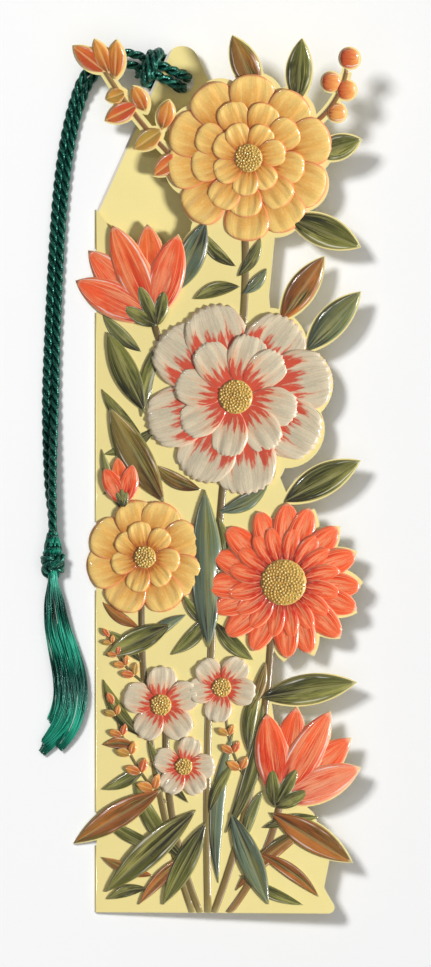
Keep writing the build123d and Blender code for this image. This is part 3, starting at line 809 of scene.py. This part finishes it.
def thread_material():
    """Fringe threads: satin rayon, each a little lighter or darker, with slow painted bands of sheen and shade.
    """
    surface = Surface("fringe_satin")
    tone = surface.attribute("tone")
    mottle = surface.noise(surface.own_place(), 220.0, 2.0)
    # Painted sheen: slow light and dark bands along the threads, shifted per lock, stand in for the satin
    # catching the light; the ramp mixes them with each thread's own tone and a mottle
    phase = surface.attribute("lock_tone") * 2.6 + (tone * 0.9 + 0.6)
    painted_sheen_band = (surface.attribute("along") * 13.0 + phase).does("SINE") * 0.5 + 0.5
    level = painted_sheen_band * 0.52 + (tone * 0.24 + mottle * 0.24)
    dye_and_painted_sheen = surface.ramp(level, (0.2, (0, 18, 14)), (0.5, (3, 86, 69)), (0.85, (46, 170, 140)))
    return surface.finish({
        "Base Color": surface.mix(surface.step(tone, 0.972, 0.98), dye_and_painted_sheen, colour(176, 188, 172)),
        "Roughness": surface.step(mottle, 0.3, 0.7, 0.24, 0.38),
        "Specular IOR Level": 0.9, "Specular Tint": (0.4, 1.0, 0.82, 1.0),
    })


# ------------------------------------------------------------------ camera, floor and light, in metres
SENSOR_HEIGHT = 24.0
CAMERA_AT = (0.0067, -0.0017, 1.6)
VIEW_HEIGHT = 0.1934
FLOOR_REACH = 2.0
FLOOR_LEVEL = -0.0001

scene = bpy.context.scene
scene.view_settings.view_transform = "Standard"

camera_data = bpy.data.cameras.new("camera")
camera_data.sensor_fit = "VERTICAL"
camera_data.sensor_height = SENSOR_HEIGHT
camera_data.lens = SENSOR_HEIGHT * CAMERA_AT[2] / VIEW_HEIGHT
camera = add_object("camera", camera_data)
camera.location = CAMERA_AT
scene.camera = camera

floor_mesh = bpy.data.meshes.new("floor")
floor_corners = [(-1, -1), (1, -1), (1, 1), (-1, 1)]
floor_mesh.from_pydata(
    [(FLOOR_REACH * x, FLOOR_REACH * y, FLOOR_LEVEL) for x, y in floor_corners], [], [(0, 1, 2, 3)]
)
floor = add_object("floor", floor_mesh)
floor_surface = Surface("floor_white")
floor_white = floor_surface.group(PRINT_GRAIN, {"Colour": colour(250, 250, 250), "Amount": 0.004})[0]
floor_mesh.materials.append(
    floor_surface.finish({"Base Color": floor_white, "Roughness": 1.0, "Specular IOR Level": 0.0})
)


def add_lamp(name, toward, distance, size, power, receivers):
    """A soft square lamp that looks at the card from a direction and lights its receivers."""
    data = bpy.data.lights.new(name, "AREA")
    data.shape = "SQUARE"
    data.size = size
    data.energy = power
    lamp = add_object(name, data)
    direction = np.array(toward, float) / np.linalg.norm(toward)
    lamp.location = Vector(direction * distance)
    lamp.rotation_euler = Vector(direction).to_track_quat("Z", "Y").to_euler()
    lamp.light_linking.receiver_collection = receivers


floor_alone = bpy.data.collections.new("floor_alone")
floor_alone.objects.link(floor)
all_but_floor = bpy.data.collections.new("all_but_floor")
all_but_floor.objects.link(floor)
all_but_floor.collection_objects[0].light_linking.link_state = "EXCLUDE"
add_lamp("side_lamp", (1.15, -0.25, 1.0), distance=1.1, size=0.2, power=15.0, receivers=all_but_floor)
add_lamp("glint_lamp", (-0.62, 0.42, 1.0), distance=1.1, size=0.07, power=1.1, receivers=all_but_floor)
add_lamp("floor_lamp", (-0.46, 0.42, 1.0), distance=2.4, size=0.46, power=39.0, receivers=floor_alone)
add_lamp("floor_fill", (0.0, 0.0, 1.0), distance=1.2, size=1.4, power=4.4, receivers=floor_alone)
world = bpy.data.worlds.new("studio")
world.use_nodes = True
world.node_tree.nodes["Background"].inputs["Color"].default_value = (1.0, 1.0, 1.0, 1.0)
world.node_tree.nodes["Background"].inputs["Strength"].default_value = 0.2
scene.world = world

# ------------------------------------------------------------------ cord
TWISTED_CORD = twisted_cord_tree()
cord_yarn = yarn_material()


def spline_points(name, places):
    """A smooth line through control points in metres, read back as the points that it follows."""
    curve = bpy.data.curves.new(name, "CURVE")
    curve.dimensions = "3D"
    spline = curve.splines.new("NURBS")
    spline.points.add(len(places) - 1)
    for point, spot in zip(spline.points, places):
        point.co = (*spot, 1.0)
    spline.order_u = 3
    spline.use_endpoint_u = True
    spline.resolution_u = 12
    route = add_object(name, curve)
    shapes = bpy.context.evaluated_depsgraph_get()
    mesh = bpy.data.meshes.new_from_object(route.evaluated_get(shapes))
    points = [tuple(vertex.co) for vertex in mesh.vertices]
    bpy.data.objects.remove(route)
    return points


def line_object(name, points):
    mesh = bpy.data.meshes.new(name)
    mesh.from_pydata(points, [(number, number + 1) for number in range(len(points) - 1)], [])
    return add_object(name, mesh)


def twist(name, points, diameter, lay):
    """Three plies laid up round a line of points to a cord of that diameter, in millimetres."""
    ply = PLY_SHARE * MM * diameter
    return run_tree(
        line_object(name, points), TWISTED_CORD,
        {
            "Plies": 3,
            "Ply Radius": ply * PLY_PRESS,
            "Ply Offset": 0.5 * MM * diameter - ply,
            "Lay": MM * lay,
            "Step": MM * CORD_STEP,
            "Material": cord_yarn,
        },
    )


def at_hitch(out, aside, level):
    """A place by the hitch, out from the hole over the tab's edge and to one side of that line."""
    x = HITCH_AT[0] + out * cos(HITCH_HEADING) - aside * sin(HITCH_HEADING)
    y = HITCH_AT[1] + out * sin(HITCH_HEADING) + aside * cos(HITCH_HEADING)
    return (MM * x, MM * y, MM * level)


def strand(name, node, aside, route, knot_level, length):
    """A strand from the hitch down to the knot, with its exit, path and length for the cord."""
    knot_u, knot_v, _ = KNOT_TOP
    control = [at_hitch(HITCH_OUT, aside, HITCH_OVER), at_hitch(HITCH_OUT + HITCH_LEAD, aside, HITCH_OVER)]
    route = [*route, (knot_u, knot_v + KNOT_LEAD, knot_level), (knot_u, knot_v, knot_level)]
    control += [metres(spot) for spot in route]
    points = spline_points(name, control)
    made = twist(name, points, CORD_DIAMETER, CORD_LAY)
    declare(made, "cord", node)
    return made, control[0], points, MM * length


outer = strand("outer_strand", "cord_strand_outer", -HITCH_ASIDE, OUTER_ROUTE, OUTER_KNOT_LEVEL, OUTER_LENGTH)
inner = strand("inner_strand", "cord_strand_inner", HITCH_ASIDE, INNER_ROUTE, INNER_KNOT_LEVEL, INNER_LENGTH)

hitch_control = HALF_HITCH + [(out, -aside, level) for out, aside, level in reversed(HALF_HITCH)]
hitch_points = spline_points("hitch_loop", [at_hitch(*spot) for spot in hitch_control])
hitch_loop = twist("hitch_loop", hitch_points, HITCH_DIAMETER, CORD_LAY)
wrap_control = []
for turn in np.arange(0.1, 2.01, COIL_TURN_STEP):
    angle = TURN * turn
    wrap_control.append(at_hitch(
        WRAP_START + WRAP_PITCH * turn, WRAP_HALF_WIDTH * cos(angle), WRAP_LEVEL + WRAP_HALF_HEIGHT * sin(angle)
    ))
hitch_wrap = twist("hitch_wrap", spline_points("hitch_wrap", wrap_control), WRAP_DIAMETER, TIGHT_LAY)
hitch = join_pieces("hitch_loop", [hitch_loop, hitch_wrap])
declare(hitch, "cord", "cord_hitch")

# ------------------------------------------------------------------ knot and fringe
fringe_satin = thread_material()
FRINGE_THREADS = fringe_tree()


def run_along(places):
    """How far along a line each of its places is."""
    steps = np.linalg.norm(np.diff(np.array(places), axis=0), axis=1)
    return np.concatenate([[0.0], np.cumsum(steps)])


def hang_threads(name, stations, threads, steps, radius, locks, gather, shortest):
    """Threads along a line of stations (u, v, z, half width, half height)."""
    marks = [metres(station[:3]) for station in stations]
    points = spline_points(name, marks)
    line = line_object(name, points)
    run, mark_run = run_along(points), run_along(marks)
    mark_run *= run[-1] / mark_run[-1]
    for label, column in (("half_width", 3), ("half_height", 4)):
        values = np.interp(run, mark_run, [MM * station[column] for station in stations])
        line.data.attributes.new(label, "FLOAT", "POINT").data.foreach_set("value", values)
    return run_tree(
        line, FRINGE_THREADS,
        {
            "Material": fringe_satin, "Threads": threads, "Steps": steps, "Thread Radius": MM * radius,
            "Locks": locks, "Gather": gather, "Shortest": shortest,
        },
    )


neck_u, neck_v, neck_z = FRINGE_NECK
fringe = hang_threads(
    "tassel_threads",
    [
        (neck_u, neck_v + FRINGE_INSIDE, neck_z, 0.8, 0.8),
        (neck_u, neck_v, neck_z, 0.9, 0.85),
        *(
            (u, v, high + FRINGE_CLEARANCE, wide, FRINGE_FLATNESS * high)
            for u, v, wide, high in FRINGE_SECTIONS
        ),
        FRINGE_TIP,
    ],
    threads=760, steps=24, radius=0.1, locks=6, gather=0.82, shortest=0.80,
)
metres((neck_u, neck_v + BLEND_ABOVE, neck_z))
metres((neck_u, neck_v - BLEND_BELOW, neck_z))
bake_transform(fringe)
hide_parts("tassel_fringe")

knot_u, knot_v, knot_z = KNOT_TOP
collar = hang_threads(
    "knot_collar",
    [
        (knot_u - 0.1, knot_v + 0.5, knot_z, 0.95, 1.3),
        (knot_u - 0.05, knot_v - 0.6, knot_z, 1.2, 1.5),
        (knot_u, knot_v - 2.0, knot_z, 1.6, 1.7),
        (knot_u, knot_v - 3.9, knot_z, 1.75, 1.7),
    ],
    threads=420, steps=10, radius=0.1, locks=3, gather=0.0, shortest=0.98,
)
knot_loops = []
for turn in np.arange(0.0, 3.01, COIL_TURN_STEP):
    angle = TURN * turn
    drop = COIL_START + COIL_PITCH * turn + COIL_SWAY * sin(angle + 1.3 * turn)
    wide = COIL_RADIUS + COIL_SWELL * cos(2.0 * angle + turn)
    high = COIL_FLATNESS * wide
    knot_loops.append(metres((knot_u + wide * cos(angle), knot_v - drop, knot_z + high * sin(angle))))
knot_coil = twist("knot_coil", spline_points("knot_coil", knot_loops), COIL_DIAMETER, TIGHT_LAY)
knot_core = hang_threads(
    "knot_core",
    [
        (knot_u, knot_v - 3.0, knot_z, 1.3, 1.3),
        (knot_u, knot_v - 6.0, knot_z, 1.2, 1.2),
        (knot_u, knot_v - 8.6, knot_z, 0.75, 0.75),
    ],
    threads=90, steps=8, radius=0.18, locks=3, gather=0.0, shortest=0.97,
)
knot = join_pieces("tassel_knot_wrap", [knot_coil, collar, knot_core])
declare(knot, "cord", "tassel_knot")

# ------------------------------------------------------------------ card
card_ground = card_material("card_ground", 0.0)
card_tag = card_material("card_tag", 1.0)
for node, material in (("front_leaf", card_ground), ("back_leaf", card_tag)):
    card_node = bpy.data.objects[node]
    card_node.data.materials.clear()
    card_node.data.materials.append(material)


def crease_mesh():
    """The bent strip along the fold, in runs between the motifs that cross it."""
    points, faces = [], []
    turns = np.linspace(pi / 2 + REST_OPENING, 3 * pi / 2, CREASE_POINTS)
    loop = [(SHEET_TOP, turn) for turn in turns] + [(SHEET_LOW, turn) for turn in reversed(turns)]
    for low, high in CREASE_RUNS:
        stations = np.linspace(low, high, 2 + int((high - low) / CREASE_STEP))
        near = len(points) + np.arange(len(stations) * len(loop)).reshape(len(stations), -1)
        far = np.roll(near, -1, axis=1)
        for v in stations:
            points += [metres((radius * cos(turn), v, FOLD_Z + radius * sin(turn))) for radius, turn in loop]
        faces += np.stack([near[:-1], near[1:], far[1:], far[:-1]], axis=-1).reshape(-1, 4).tolist()
        faces += [near[0].tolist(), near[-1, ::-1].tolist()]
    mesh = bpy.data.meshes.new("fold_strip")
    mesh.from_pydata(points, [], faces)
    mesh.shade_smooth()
    mesh.materials.append(card_ground)
    return mesh


crease = add_object("fold_strip", crease_mesh())
metres((0.0, CREASE_MIDDLE, FOLD_Z - SHEET_TOP))
metres((0.0, CREASE_MIDDLE, FOLD_Z + SHEET_TOP))
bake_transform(crease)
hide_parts("fold_crease")

# ------------------------------------------------------------------ relief
PRESSED = pressed_tree()
PETAL_RING = petal_ring_tree()
BEAD_DISC = bead_disc_tree()
# Petals: the rim's drop below the ring's height, the crown, and how far a petal's side may lift
PETAL_DROP = 0.14
PETAL_CROWN = 0.32
SIDE_LIFT = 0.44
RING_SEED_STEP = 17
HEART_SEED_STEP = 5
BEAD_RADIUS = 0.26
BEAD_CROWN = 0.22
# Stacking: the lowest foot, the share of widths that counts as crossing, and of a height to rise
LOWEST_FOOT = 0.03
CROSSING_SHARE = 0.8
RISE_SHARE = 0.85


def plan(rows, columns, low=-1):
    """Two grids of shares: along from low to 1 by row, and across from -1 to 1 by column."""
    return np.meshgrid(np.linspace(low, 1, rows), np.linspace(-1, 1, columns), indexing="ij")


def with_height(spots, h):
    return np.concatenate([spots, h[..., None]], axis=-1)


def lifted(grid, height=SHEET_TOP):
    return grid + np.array([0.0, 0.0, height])


def relief_object(name, grids, tones, foot):
    """Closed pillows from grids of places (rows along, columns across), with UVs and a tone each."""
    points, faces, uvs, tone_values = [], [], [], []
    for grid, tone in zip(grids, tones):
        rows, columns = grid.shape[:2]
        count = rows * columns
        top = len(points) + np.arange(count).reshape(rows, columns)
        along, across = np.meshgrid(np.linspace(0, 1, rows), np.linspace(0, 1, columns), indexing="ij")
        underside = grid.copy()
        underside[..., 2] = foot
        for face_grid in (grid, underside):
            points += face_grid.reshape(-1, 3).tolist()
            uvs += np.stack([along, across], axis=-1).reshape(-1, 2).tolist()
            tone_values += [tone] * count
        quads = np.stack([top[:-1, :-1], top[1:, :-1], top[1:, 1:], top[:-1, 1:]], axis=-1).reshape(-1, 4)
        near = np.concatenate([top[0], top[1:, -1], top[-1, -2::-1], top[-2:0:-1, 0]])
        far = np.roll(near, -1)
        sides = np.stack([near, far, far + count, near + count], axis=-1)
        faces += quads.tolist() + (quads[:, ::-1] + count).tolist() + sides.tolist()
    mesh = bpy.data.meshes.new(name)
    mesh.from_pydata(points, [], faces)
    layer = mesh.uv_layers.new(name="UVMap")
    corners = np.empty(len(mesh.loops), dtype=np.int32)
    mesh.loops.foreach_get("vertex_index", corners)
    layer.data.foreach_set("uv", np.array(uvs, dtype=np.float32)[corners].ravel())
    tone_layer = mesh.attributes.new("tone", "FLOAT", "POINT")
    tone_layer.data.foreach_set("value", np.array(tone_values, dtype=np.float32))
    mesh.shade_smooth()
    return add_object(name, mesh)


def press(name, grids, tones, material):
    shape = relief_object(name, grids, tones, SHEET_TOP - FOOT_DEPTH)
    return run_tree(shape, PRESSED, {"Material": material})


def round_petal(length, width, rim, teeth, ruffle):
    """A broad petal that lies along +X from its base, pillowed, with a toothed or smooth tip."""
    u, v = plan(15, 25)
    reach = np.maximum(np.abs(u), np.abs(v))
    x = u * np.sqrt(1 - v**2 / 2)
    y = v * np.sqrt(1 - u**2 / 2) * (0.84 + 0.16 * u)
    notch = 1 - 0.075 * (0.5 - 0.5 * np.cos(pi * teeth * v)) * np.clip(u * 1.6, 0, 1) * reach**8
    pillow = np.sqrt((1 - np.abs(u) ** 8) * (1 - np.abs(v) ** 6))
    lift = 0.45 + 0.55 * ((u + 1) / 2) ** 1.4
    fold = ruffle * np.cos(2.5 * pi * v + 1.4 * u) * (u + 1) / 2 * (1 - reach**6)
    ridges = sum(np.exp(-((v - spot - 0.1 * u * spot) / 0.075) ** 2) for spot in (-0.58, -0.22, 0.3, 0.66))
    ridge = 0.09 * ridges * (1 - reach**6) * (u + 1.3) / 2.3
    h = rim + PETAL_CROWN * pillow * lift + fold + ridge
    return np.stack([length * (x * notch + 1) / 2, width / 2 * y * notch, h], axis=-1)


def round_plan(count):
    """A disc of radius 1 as a grid of places."""
    u, v = plan(count, count)
    return u * np.sqrt(1 - v**2 / 2), v * np.sqrt(1 - u**2 / 2)


def along_run(base, tip, s, aside):
    """Places between base and tip by share, to the left of that line by aside."""
    run = np.array(tip) - np.array(base)
    normal = np.array([-run[1], run[0]]) / np.linalg.norm(run)
    return np.array(base) + s[..., None] * run + aside[..., None] * normal


def blade(base, tip, left, right, rim, crown, groove, rows=23, blunt=1.0, bend=0.0):
    """A pointed leaf or ray petal from base to tip, with a groove down its middle."""
    s, t = plan(rows, 13, low=0)
    swell = np.maximum((4 * s * (1 - s)) ** blunt, 0.02)
    aside = np.where(t > 0, left, right) * t * swell + bend * 4 * s * (1 - s)
    pillow = np.sqrt(1 - np.abs(t) ** 4) * (1 - (2 * s - 1) ** 8)
    h = rim + crown * pillow - groove * np.exp(-(t / 0.16) ** 2) * swell
    return with_height(along_run(base, tip, s, aside), h)


def sunk(grid, share, slope=0.8, depth=0.03):
    """Presses a low piece down into the sheet inside that share of a bloom that covers it."""
    for centre, rings, _ in BLOOMS:
        far = np.hypot(grid[..., 0] - centre[0], grid[..., 1] - centre[1])
        cover = np.clip((share * rings[0][0] - far) / slope, 0, 1)
        grid[..., 2] -= cover * (grid[..., 2] - SHEET_TOP + depth)
    return grid


def grown_blade(base, tip, left, right, **shape):
    """A blade whose tip and sides run out into the margin as far as the print does."""
    run = np.array(tip) - np.array(base)
    tip = np.array(tip) + GROWN * run / np.linalg.norm(run)
    return blade(base, tip, left + GROWN, right + GROWN, **shape)


def headed(heading):
    """The direction of a heading in degrees."""
    return np.array([cos(radians(heading)), sin(radians(heading))])


def bloom_pieces(name, bloom, materials, seed, teeth=0, ruffle=0.1, pointed=False, lean=0.06):
    """A bloom's rings of petals and its heart."""
    centre, rings, (heart_radius, heart_height) = bloom
    pieces = []
    for number, (reach, count, length, width, turn, height) in enumerate(rings):
        rim = height - PETAL_DROP
        if number == 0:
            reach, length, width = reach + GROWN, length + GROWN, width + 2 * GROWN
        if number == len(rings) - 1 and not pointed:
            length += 0.3 * heart_radius
        if pointed:
            half = width / 2
            grid = blade((0.0, 0.0), (length, 0.0), half, half, rim, PETAL_CROWN, 0.12, rows=17, blunt=0.6)
        else:
            grid = round_petal(length, width, rim, teeth, ruffle)
        petal = relief_object(f"{name}_petal_{number}", [grid], [0.5], -FOOT_DEPTH)
        pieces.append(run_tree(
            petal, PETAL_RING,
            {
                "Count": count,
                "Base Distance": reach - length,
                "Turn": radians(turn),
                "Lean": min(lean, SIDE_LIFT / width),
                "Spread": 0.16,
                "Centre": (*centre, SHEET_TOP),
                "Seed": seed + RING_SEED_STEP * number,
                "Material": materials[min(number, len(materials) - 1)],
            },
        ))
    x, y = round_plan(13)
    h = heart_height - 0.15 + 0.25 * np.sqrt(1 - 0.98 * (x**2 + y**2) ** 1.5)
    dome = np.stack([centre[0] + heart_radius * x, centre[1] + heart_radius * y, h], axis=-1)
    heart = relief_object(f"{name}_heart", [lifted(dome)], [0.5], SHEET_TOP)
    pieces.append(run_tree(
        heart, BEAD_DISC,
        {
            "Count": int(14 * heart_radius**1.6),
            "Radius": heart_radius * 0.95,
            "Bead Radius": BEAD_RADIUS,
            "Crown": BEAD_CROWN,
            "Centre": (*centre, SHEET_TOP + heart_height - 0.08),
            "Seed": seed + HEART_SEED_STEP,
            "Material": heart_gold,
        },
    ))
    return pieces


amber_petal = painted_material(
    "amber_print", base=(204, 128, 44), tip=(244, 204, 118), shade=(232, 166, 74), flare=(178, 96, 34),
    rim=(232, 138, 96), warm=(228, 122, 62), cool=(248, 226, 170),
    flare_reach=0.34, streaks=0.7, rim_width=0.08, tint=0.65, glint=0.45,
)
cream_outer = painted_material(
    "cream_outer_print", base=(220, 164, 124), tip=(216, 200, 170), shade=(190, 180, 152), flare=(206, 62, 36),
    rim=(234, 206, 176), warm=(232, 162, 118), cool=(178, 182, 158),
    flare_reach=0.64, streaks=1.5, rim_width=0.06, tint=0.85,
)
cream_petal = painted_material(
    "cream_print", base=(222, 170, 130), tip=(220, 204, 174), shade=(196, 184, 156), flare=(206, 60, 34),
    rim=(238, 212, 184), warm=(234, 168, 124), cool=(184, 188, 164),
    flare_reach=0.42, streaks=1.4, rim_width=0.06, tint=0.75,
)
coral_petal = painted_material(
    "coral_print", base=(206, 48, 22), tip=(246, 92, 42), shade=(248, 164, 116), flare=(156, 32, 18),
    rim=(250, 184, 146), warm=(246, 136, 54), cool=(240, 184, 150),
    flare_reach=0.22, streaks=1.5, rim_width=0.08, shade_amount=0.5,
)
leaf_green = painted_material(
    "leaf_print", base=(46, 48, 20), tip=(112, 114, 48), shade=(172, 166, 92), flare=(44, 36, 18),
    rim=(166, 160, 104), warm=(196, 104, 40), cool=(104, 126, 112),
    flare_reach=0.24, streaks=1.5, rim_width=0.06, tint=0.8, dark_half=0.4, midrib=0.35, glint=0.5,
)
leaflet_amber = painted_material(
    "leaflet_print", base=(196, 96, 40), tip=(238, 160, 66), shade=(214, 128, 52), flare=(112, 96, 40),
    rim=(240, 196, 128), warm=(216, 78, 44), cool=(170, 150, 62),
    flare_reach=0.2, streaks=0.9, rim_width=0.14, tint=0.8, dark_half=0.18, midrib=0.5,
)
stem_olive = painted_material(
    "stem_print", base=(112, 92, 48), tip=(142, 122, 66), shade=(84, 66, 34), flare=(98, 78, 40),
    rim=(196, 180, 120), warm=(176, 104, 60), cool=(118, 124, 84),
    flare_reach=0.02, streaks=1.0, rim_width=0.02,
)
berry_coral = painted_material(
    "berry_print", base=(206, 88, 44), tip=(238, 164, 84), shade=(222, 120, 60), flare=(160, 62, 34),
    rim=(246, 204, 146), warm=(206, 60, 40), cool=(236, 178, 90),
    flare_reach=0.22, streaks=0.6, rim_width=0.10,
)
heart_gold = painted_material(
    "heart_print", base=(178, 128, 48), tip=(214, 174, 82), shade=(138, 94, 38), flare=(138, 94, 38),
    rim=(226, 196, 116), warm=(166, 92, 40), cool=(232, 206, 120),
    flare_reach=0.1, streaks=0.8, rim_width=0.05, tint=0.9,
)

amber_parts = bloom_pieces("amber_rosette", AMBER_ROSETTE, [amber_petal], 3, ruffle=0.12)
amber_parts += bloom_pieces("amber_small", AMBER_SMALL, [amber_petal], 21)
cream_parts = bloom_pieces(
    "cream_anemone", CREAM_ANEMONE, [cream_outer, cream_petal], 41, teeth=7, ruffle=0.14
)
for number, blossom in enumerate(CREAM_BLOSSOMS):
    cream_parts += bloom_pieces(f"cream_blossom_{number}", blossom, [cream_petal], 61 + number, teeth=3)
coral_parts = bloom_pieces("coral_daisy", CORAL_DAISY, [coral_petal], 81, pointed=True, lean=0.10)


def calyx_grids(tulip):
    """Three sepals that hold the foot of a tulip's fan."""
    base, heading, reach, spread, *_ = tulip
    foot = np.array(base) - 0.07 * reach * headed(heading)
    sepals = []
    for share, long in ((-0.42, 0.36), (0.42, 0.38), (0.0, 0.44)):
        tip = foot + long * reach * headed(heading + 1.1 * spread * share)
        sepals.append(lifted(blade(foot, tip, 0.08 * reach, 0.08 * reach, 0.74, 0.3, 0.06, blunt=0.7)))
    return sepals


def tulip_grids(tulip):
    """The fan of a tulip's petals: every other one lies behind its neighbours."""
    base, heading, reach, spread, count, bulge = tulip
    behind, before = [], []
    for number in range(count):
        share = number / (count - 1) - 0.5
        long = reach * (1 - 0.3 * abs(share)) + GROWN
        tip = np.array(base) + long * headed(heading + spread * share)
        front = number % 2 == 0
        grid = blade(base, tip, bulge + GROWN, bulge + GROWN, 0.62 if front else 0.36, 0.34, 0.1, blunt=0.8)
        (before if front else behind).append(lifted(grid))
    return behind + before


tulip_petals = [grid for tulip in TULIPS for grid in tulip_grids(tulip)]
tulip_tones = [0.13 + 0.74 * ((7 * number) % 10) / 10 for number in range(len(tulip_petals))]
coral_parts.append(press("coral_tulips", tulip_petals, tulip_tones, coral_petal))

placed = []


def stacked(grid, crown, highest, share=0.93):
    """Lifts a flat-footed grid over the pieces that it crosses and remembers it."""
    middle = grid[:, grid.shape[1] // 2, :2]
    half = 0.5 * np.linalg.norm(grid[:, -1, :2] - grid[:, 0, :2], axis=1).max()
    under = LOWEST_FOOT
    for other, other_half, top in placed:
        gap = np.linalg.norm(middle[:, None] - other[None], axis=2).min()
        if gap < CROSSING_SHARE * (half + other_half):
            under = max(under, RISE_SHARE * top)
    under = min(under, highest)
    placed.append((middle, half, under + crown))
    return sunk(lifted(lifted(grid, under)), share)


def stem_grid(start, end, bow, width, crown=0.24):
    """A rounded ridge along a bowed stem."""
    s, t = plan(25, 9, low=0)
    spots = along_run(start, end, s, bow * 4 * s * (1 - s) + 0.5 * width * t)
    spots[..., 1] = np.maximum(spots[..., 1], STEM_END)
    return stacked(with_height(spots, crown * np.sqrt(1 - 0.98 * t**2)), crown, 0.12, share=0.78)


def sprig_grids(base, tip, bow, pairs, length):
    """Leaflets in pairs that shorten towards a sprig's tip, and one at the end."""
    base, tip = np.array(base), np.array(tip)
    run = tip - base
    forward = run / np.linalg.norm(run)
    aside = np.array([-forward[1], forward[0]])

    def leaflet(foot, end, bulge, rows):
        return stacked(blade(foot, end, bulge, bulge, 0.02, 0.26, 0.08, rows=rows), 0.28, 0.45)

    leaflets = []
    for number in range(pairs):
        share = (number + 0.8) / (pairs + 0.3)
        foot = base + share * run + bow * 4 * share * (1 - share) * aside
        for hand in (-1, 1):
            long = length * (1.1 - 0.45 * share) * (1.0 if hand > 0 else 0.9)
            leaflets.append(leaflet(foot, foot + long * (0.75 * forward + hand * 0.7 * aside), 0.3 * long, 15))
    leaflets.append(leaflet(tip, tip + 0.8 * length * forward, 0.22 * length, 23))
    return leaflets


def spread_tones(count, stride, of):
    """Tones from 0 to 1 that differ between neighbours."""
    return [((stride * number) % of) / of for number in range(count)]


# Each piece is stacked on those before it: stems, low leaves, leaves, leaflets and sprigs
stem_grids = [stem_grid(*stem) for stem in STEMS]
stem_grids += [stem_grid(base, tip, bow, 0.6, 0.16) for base, tip, bow, _, _ in SPRIGS]
leaf_grids = [
    stacked(blade(base, tip, left, right, rim=0.0, crown=0.18, groove=0.08, bend=bend), 0.18, highest=0.34)
    for base, tip, left, right, bend, _ in UNDER_LEAVES
]
leaf_grids += [
    stacked(grown_blade(base, tip, left, right, rim=0.05, crown=0.3, groove=0.14), 0.34, highest=0.40)
    for base, tip, left, right in LEAVES
]
leaflet_grids = [
    stacked(grown_blade(base, tip, bulge, bulge, rim=0.08, crown=0.32, groove=0.1), 0.4, highest=0.30)
    for base, tip, bulge in LEAFLETS
]
for sprig in SPRIGS:
    leaflet_grids += sprig_grids(*sprig)
sepal_grids = [grid for tulip in TULIPS for grid in calyx_grids(tulip)]
leaf_tones = [tone for *_, tone in UNDER_LEAVES] + spread_tones(len(LEAVES), 5, 18)
leaf_tones += [0.36 + 0.05 * (number % 5) for number in range(len(sepal_grids))]
leaf_parts = [
    press("leaf_blades", leaf_grids + sepal_grids, leaf_tones, leaf_green),
    press("leaflets", leaflet_grids, spread_tones(len(leaflet_grids), 3, 11), leaflet_amber),
]
stem_tones = spread_tones(len(stem_grids), 1, len(stem_grids))
stem_parts = [press("stem_ridges", stem_grids, stem_tones, stem_olive)]

berry_grids = []
for middle, radius, _ in BERRIES:
    x, y = round_plan(15)
    h = 0.12 + 0.7 * np.sqrt(1 - 0.97 * (x**2 + y**2))
    round_place = np.stack([x, y, h], axis=-1) * np.array([radius + GROWN, radius + GROWN, 1.0])
    berry_grids.append(lifted(round_place + np.array([*middle, 0.0])))
berry_parts = [press("berry_domes", berry_grids, [tone for *_, tone in BERRIES], berry_coral)]

for name, node, slot, parts in (
    ("amber_petals", "amber_blooms", "amber_print", amber_parts),
    ("cream_petals", "cream_blooms", "cream_print", cream_parts),
    ("coral_petals", "coral_blooms", "coral_print", coral_parts),
    ("leaf_relief", "leaf_sprays", "leaf_print", leaf_parts),
    ("stem_relief", "flower_stems", "stem_print", stem_parts),
    ("berry_relief", "berry_beads", "coral_print", berry_parts),
):
    declare(join_pieces(name, parts), "front", node)
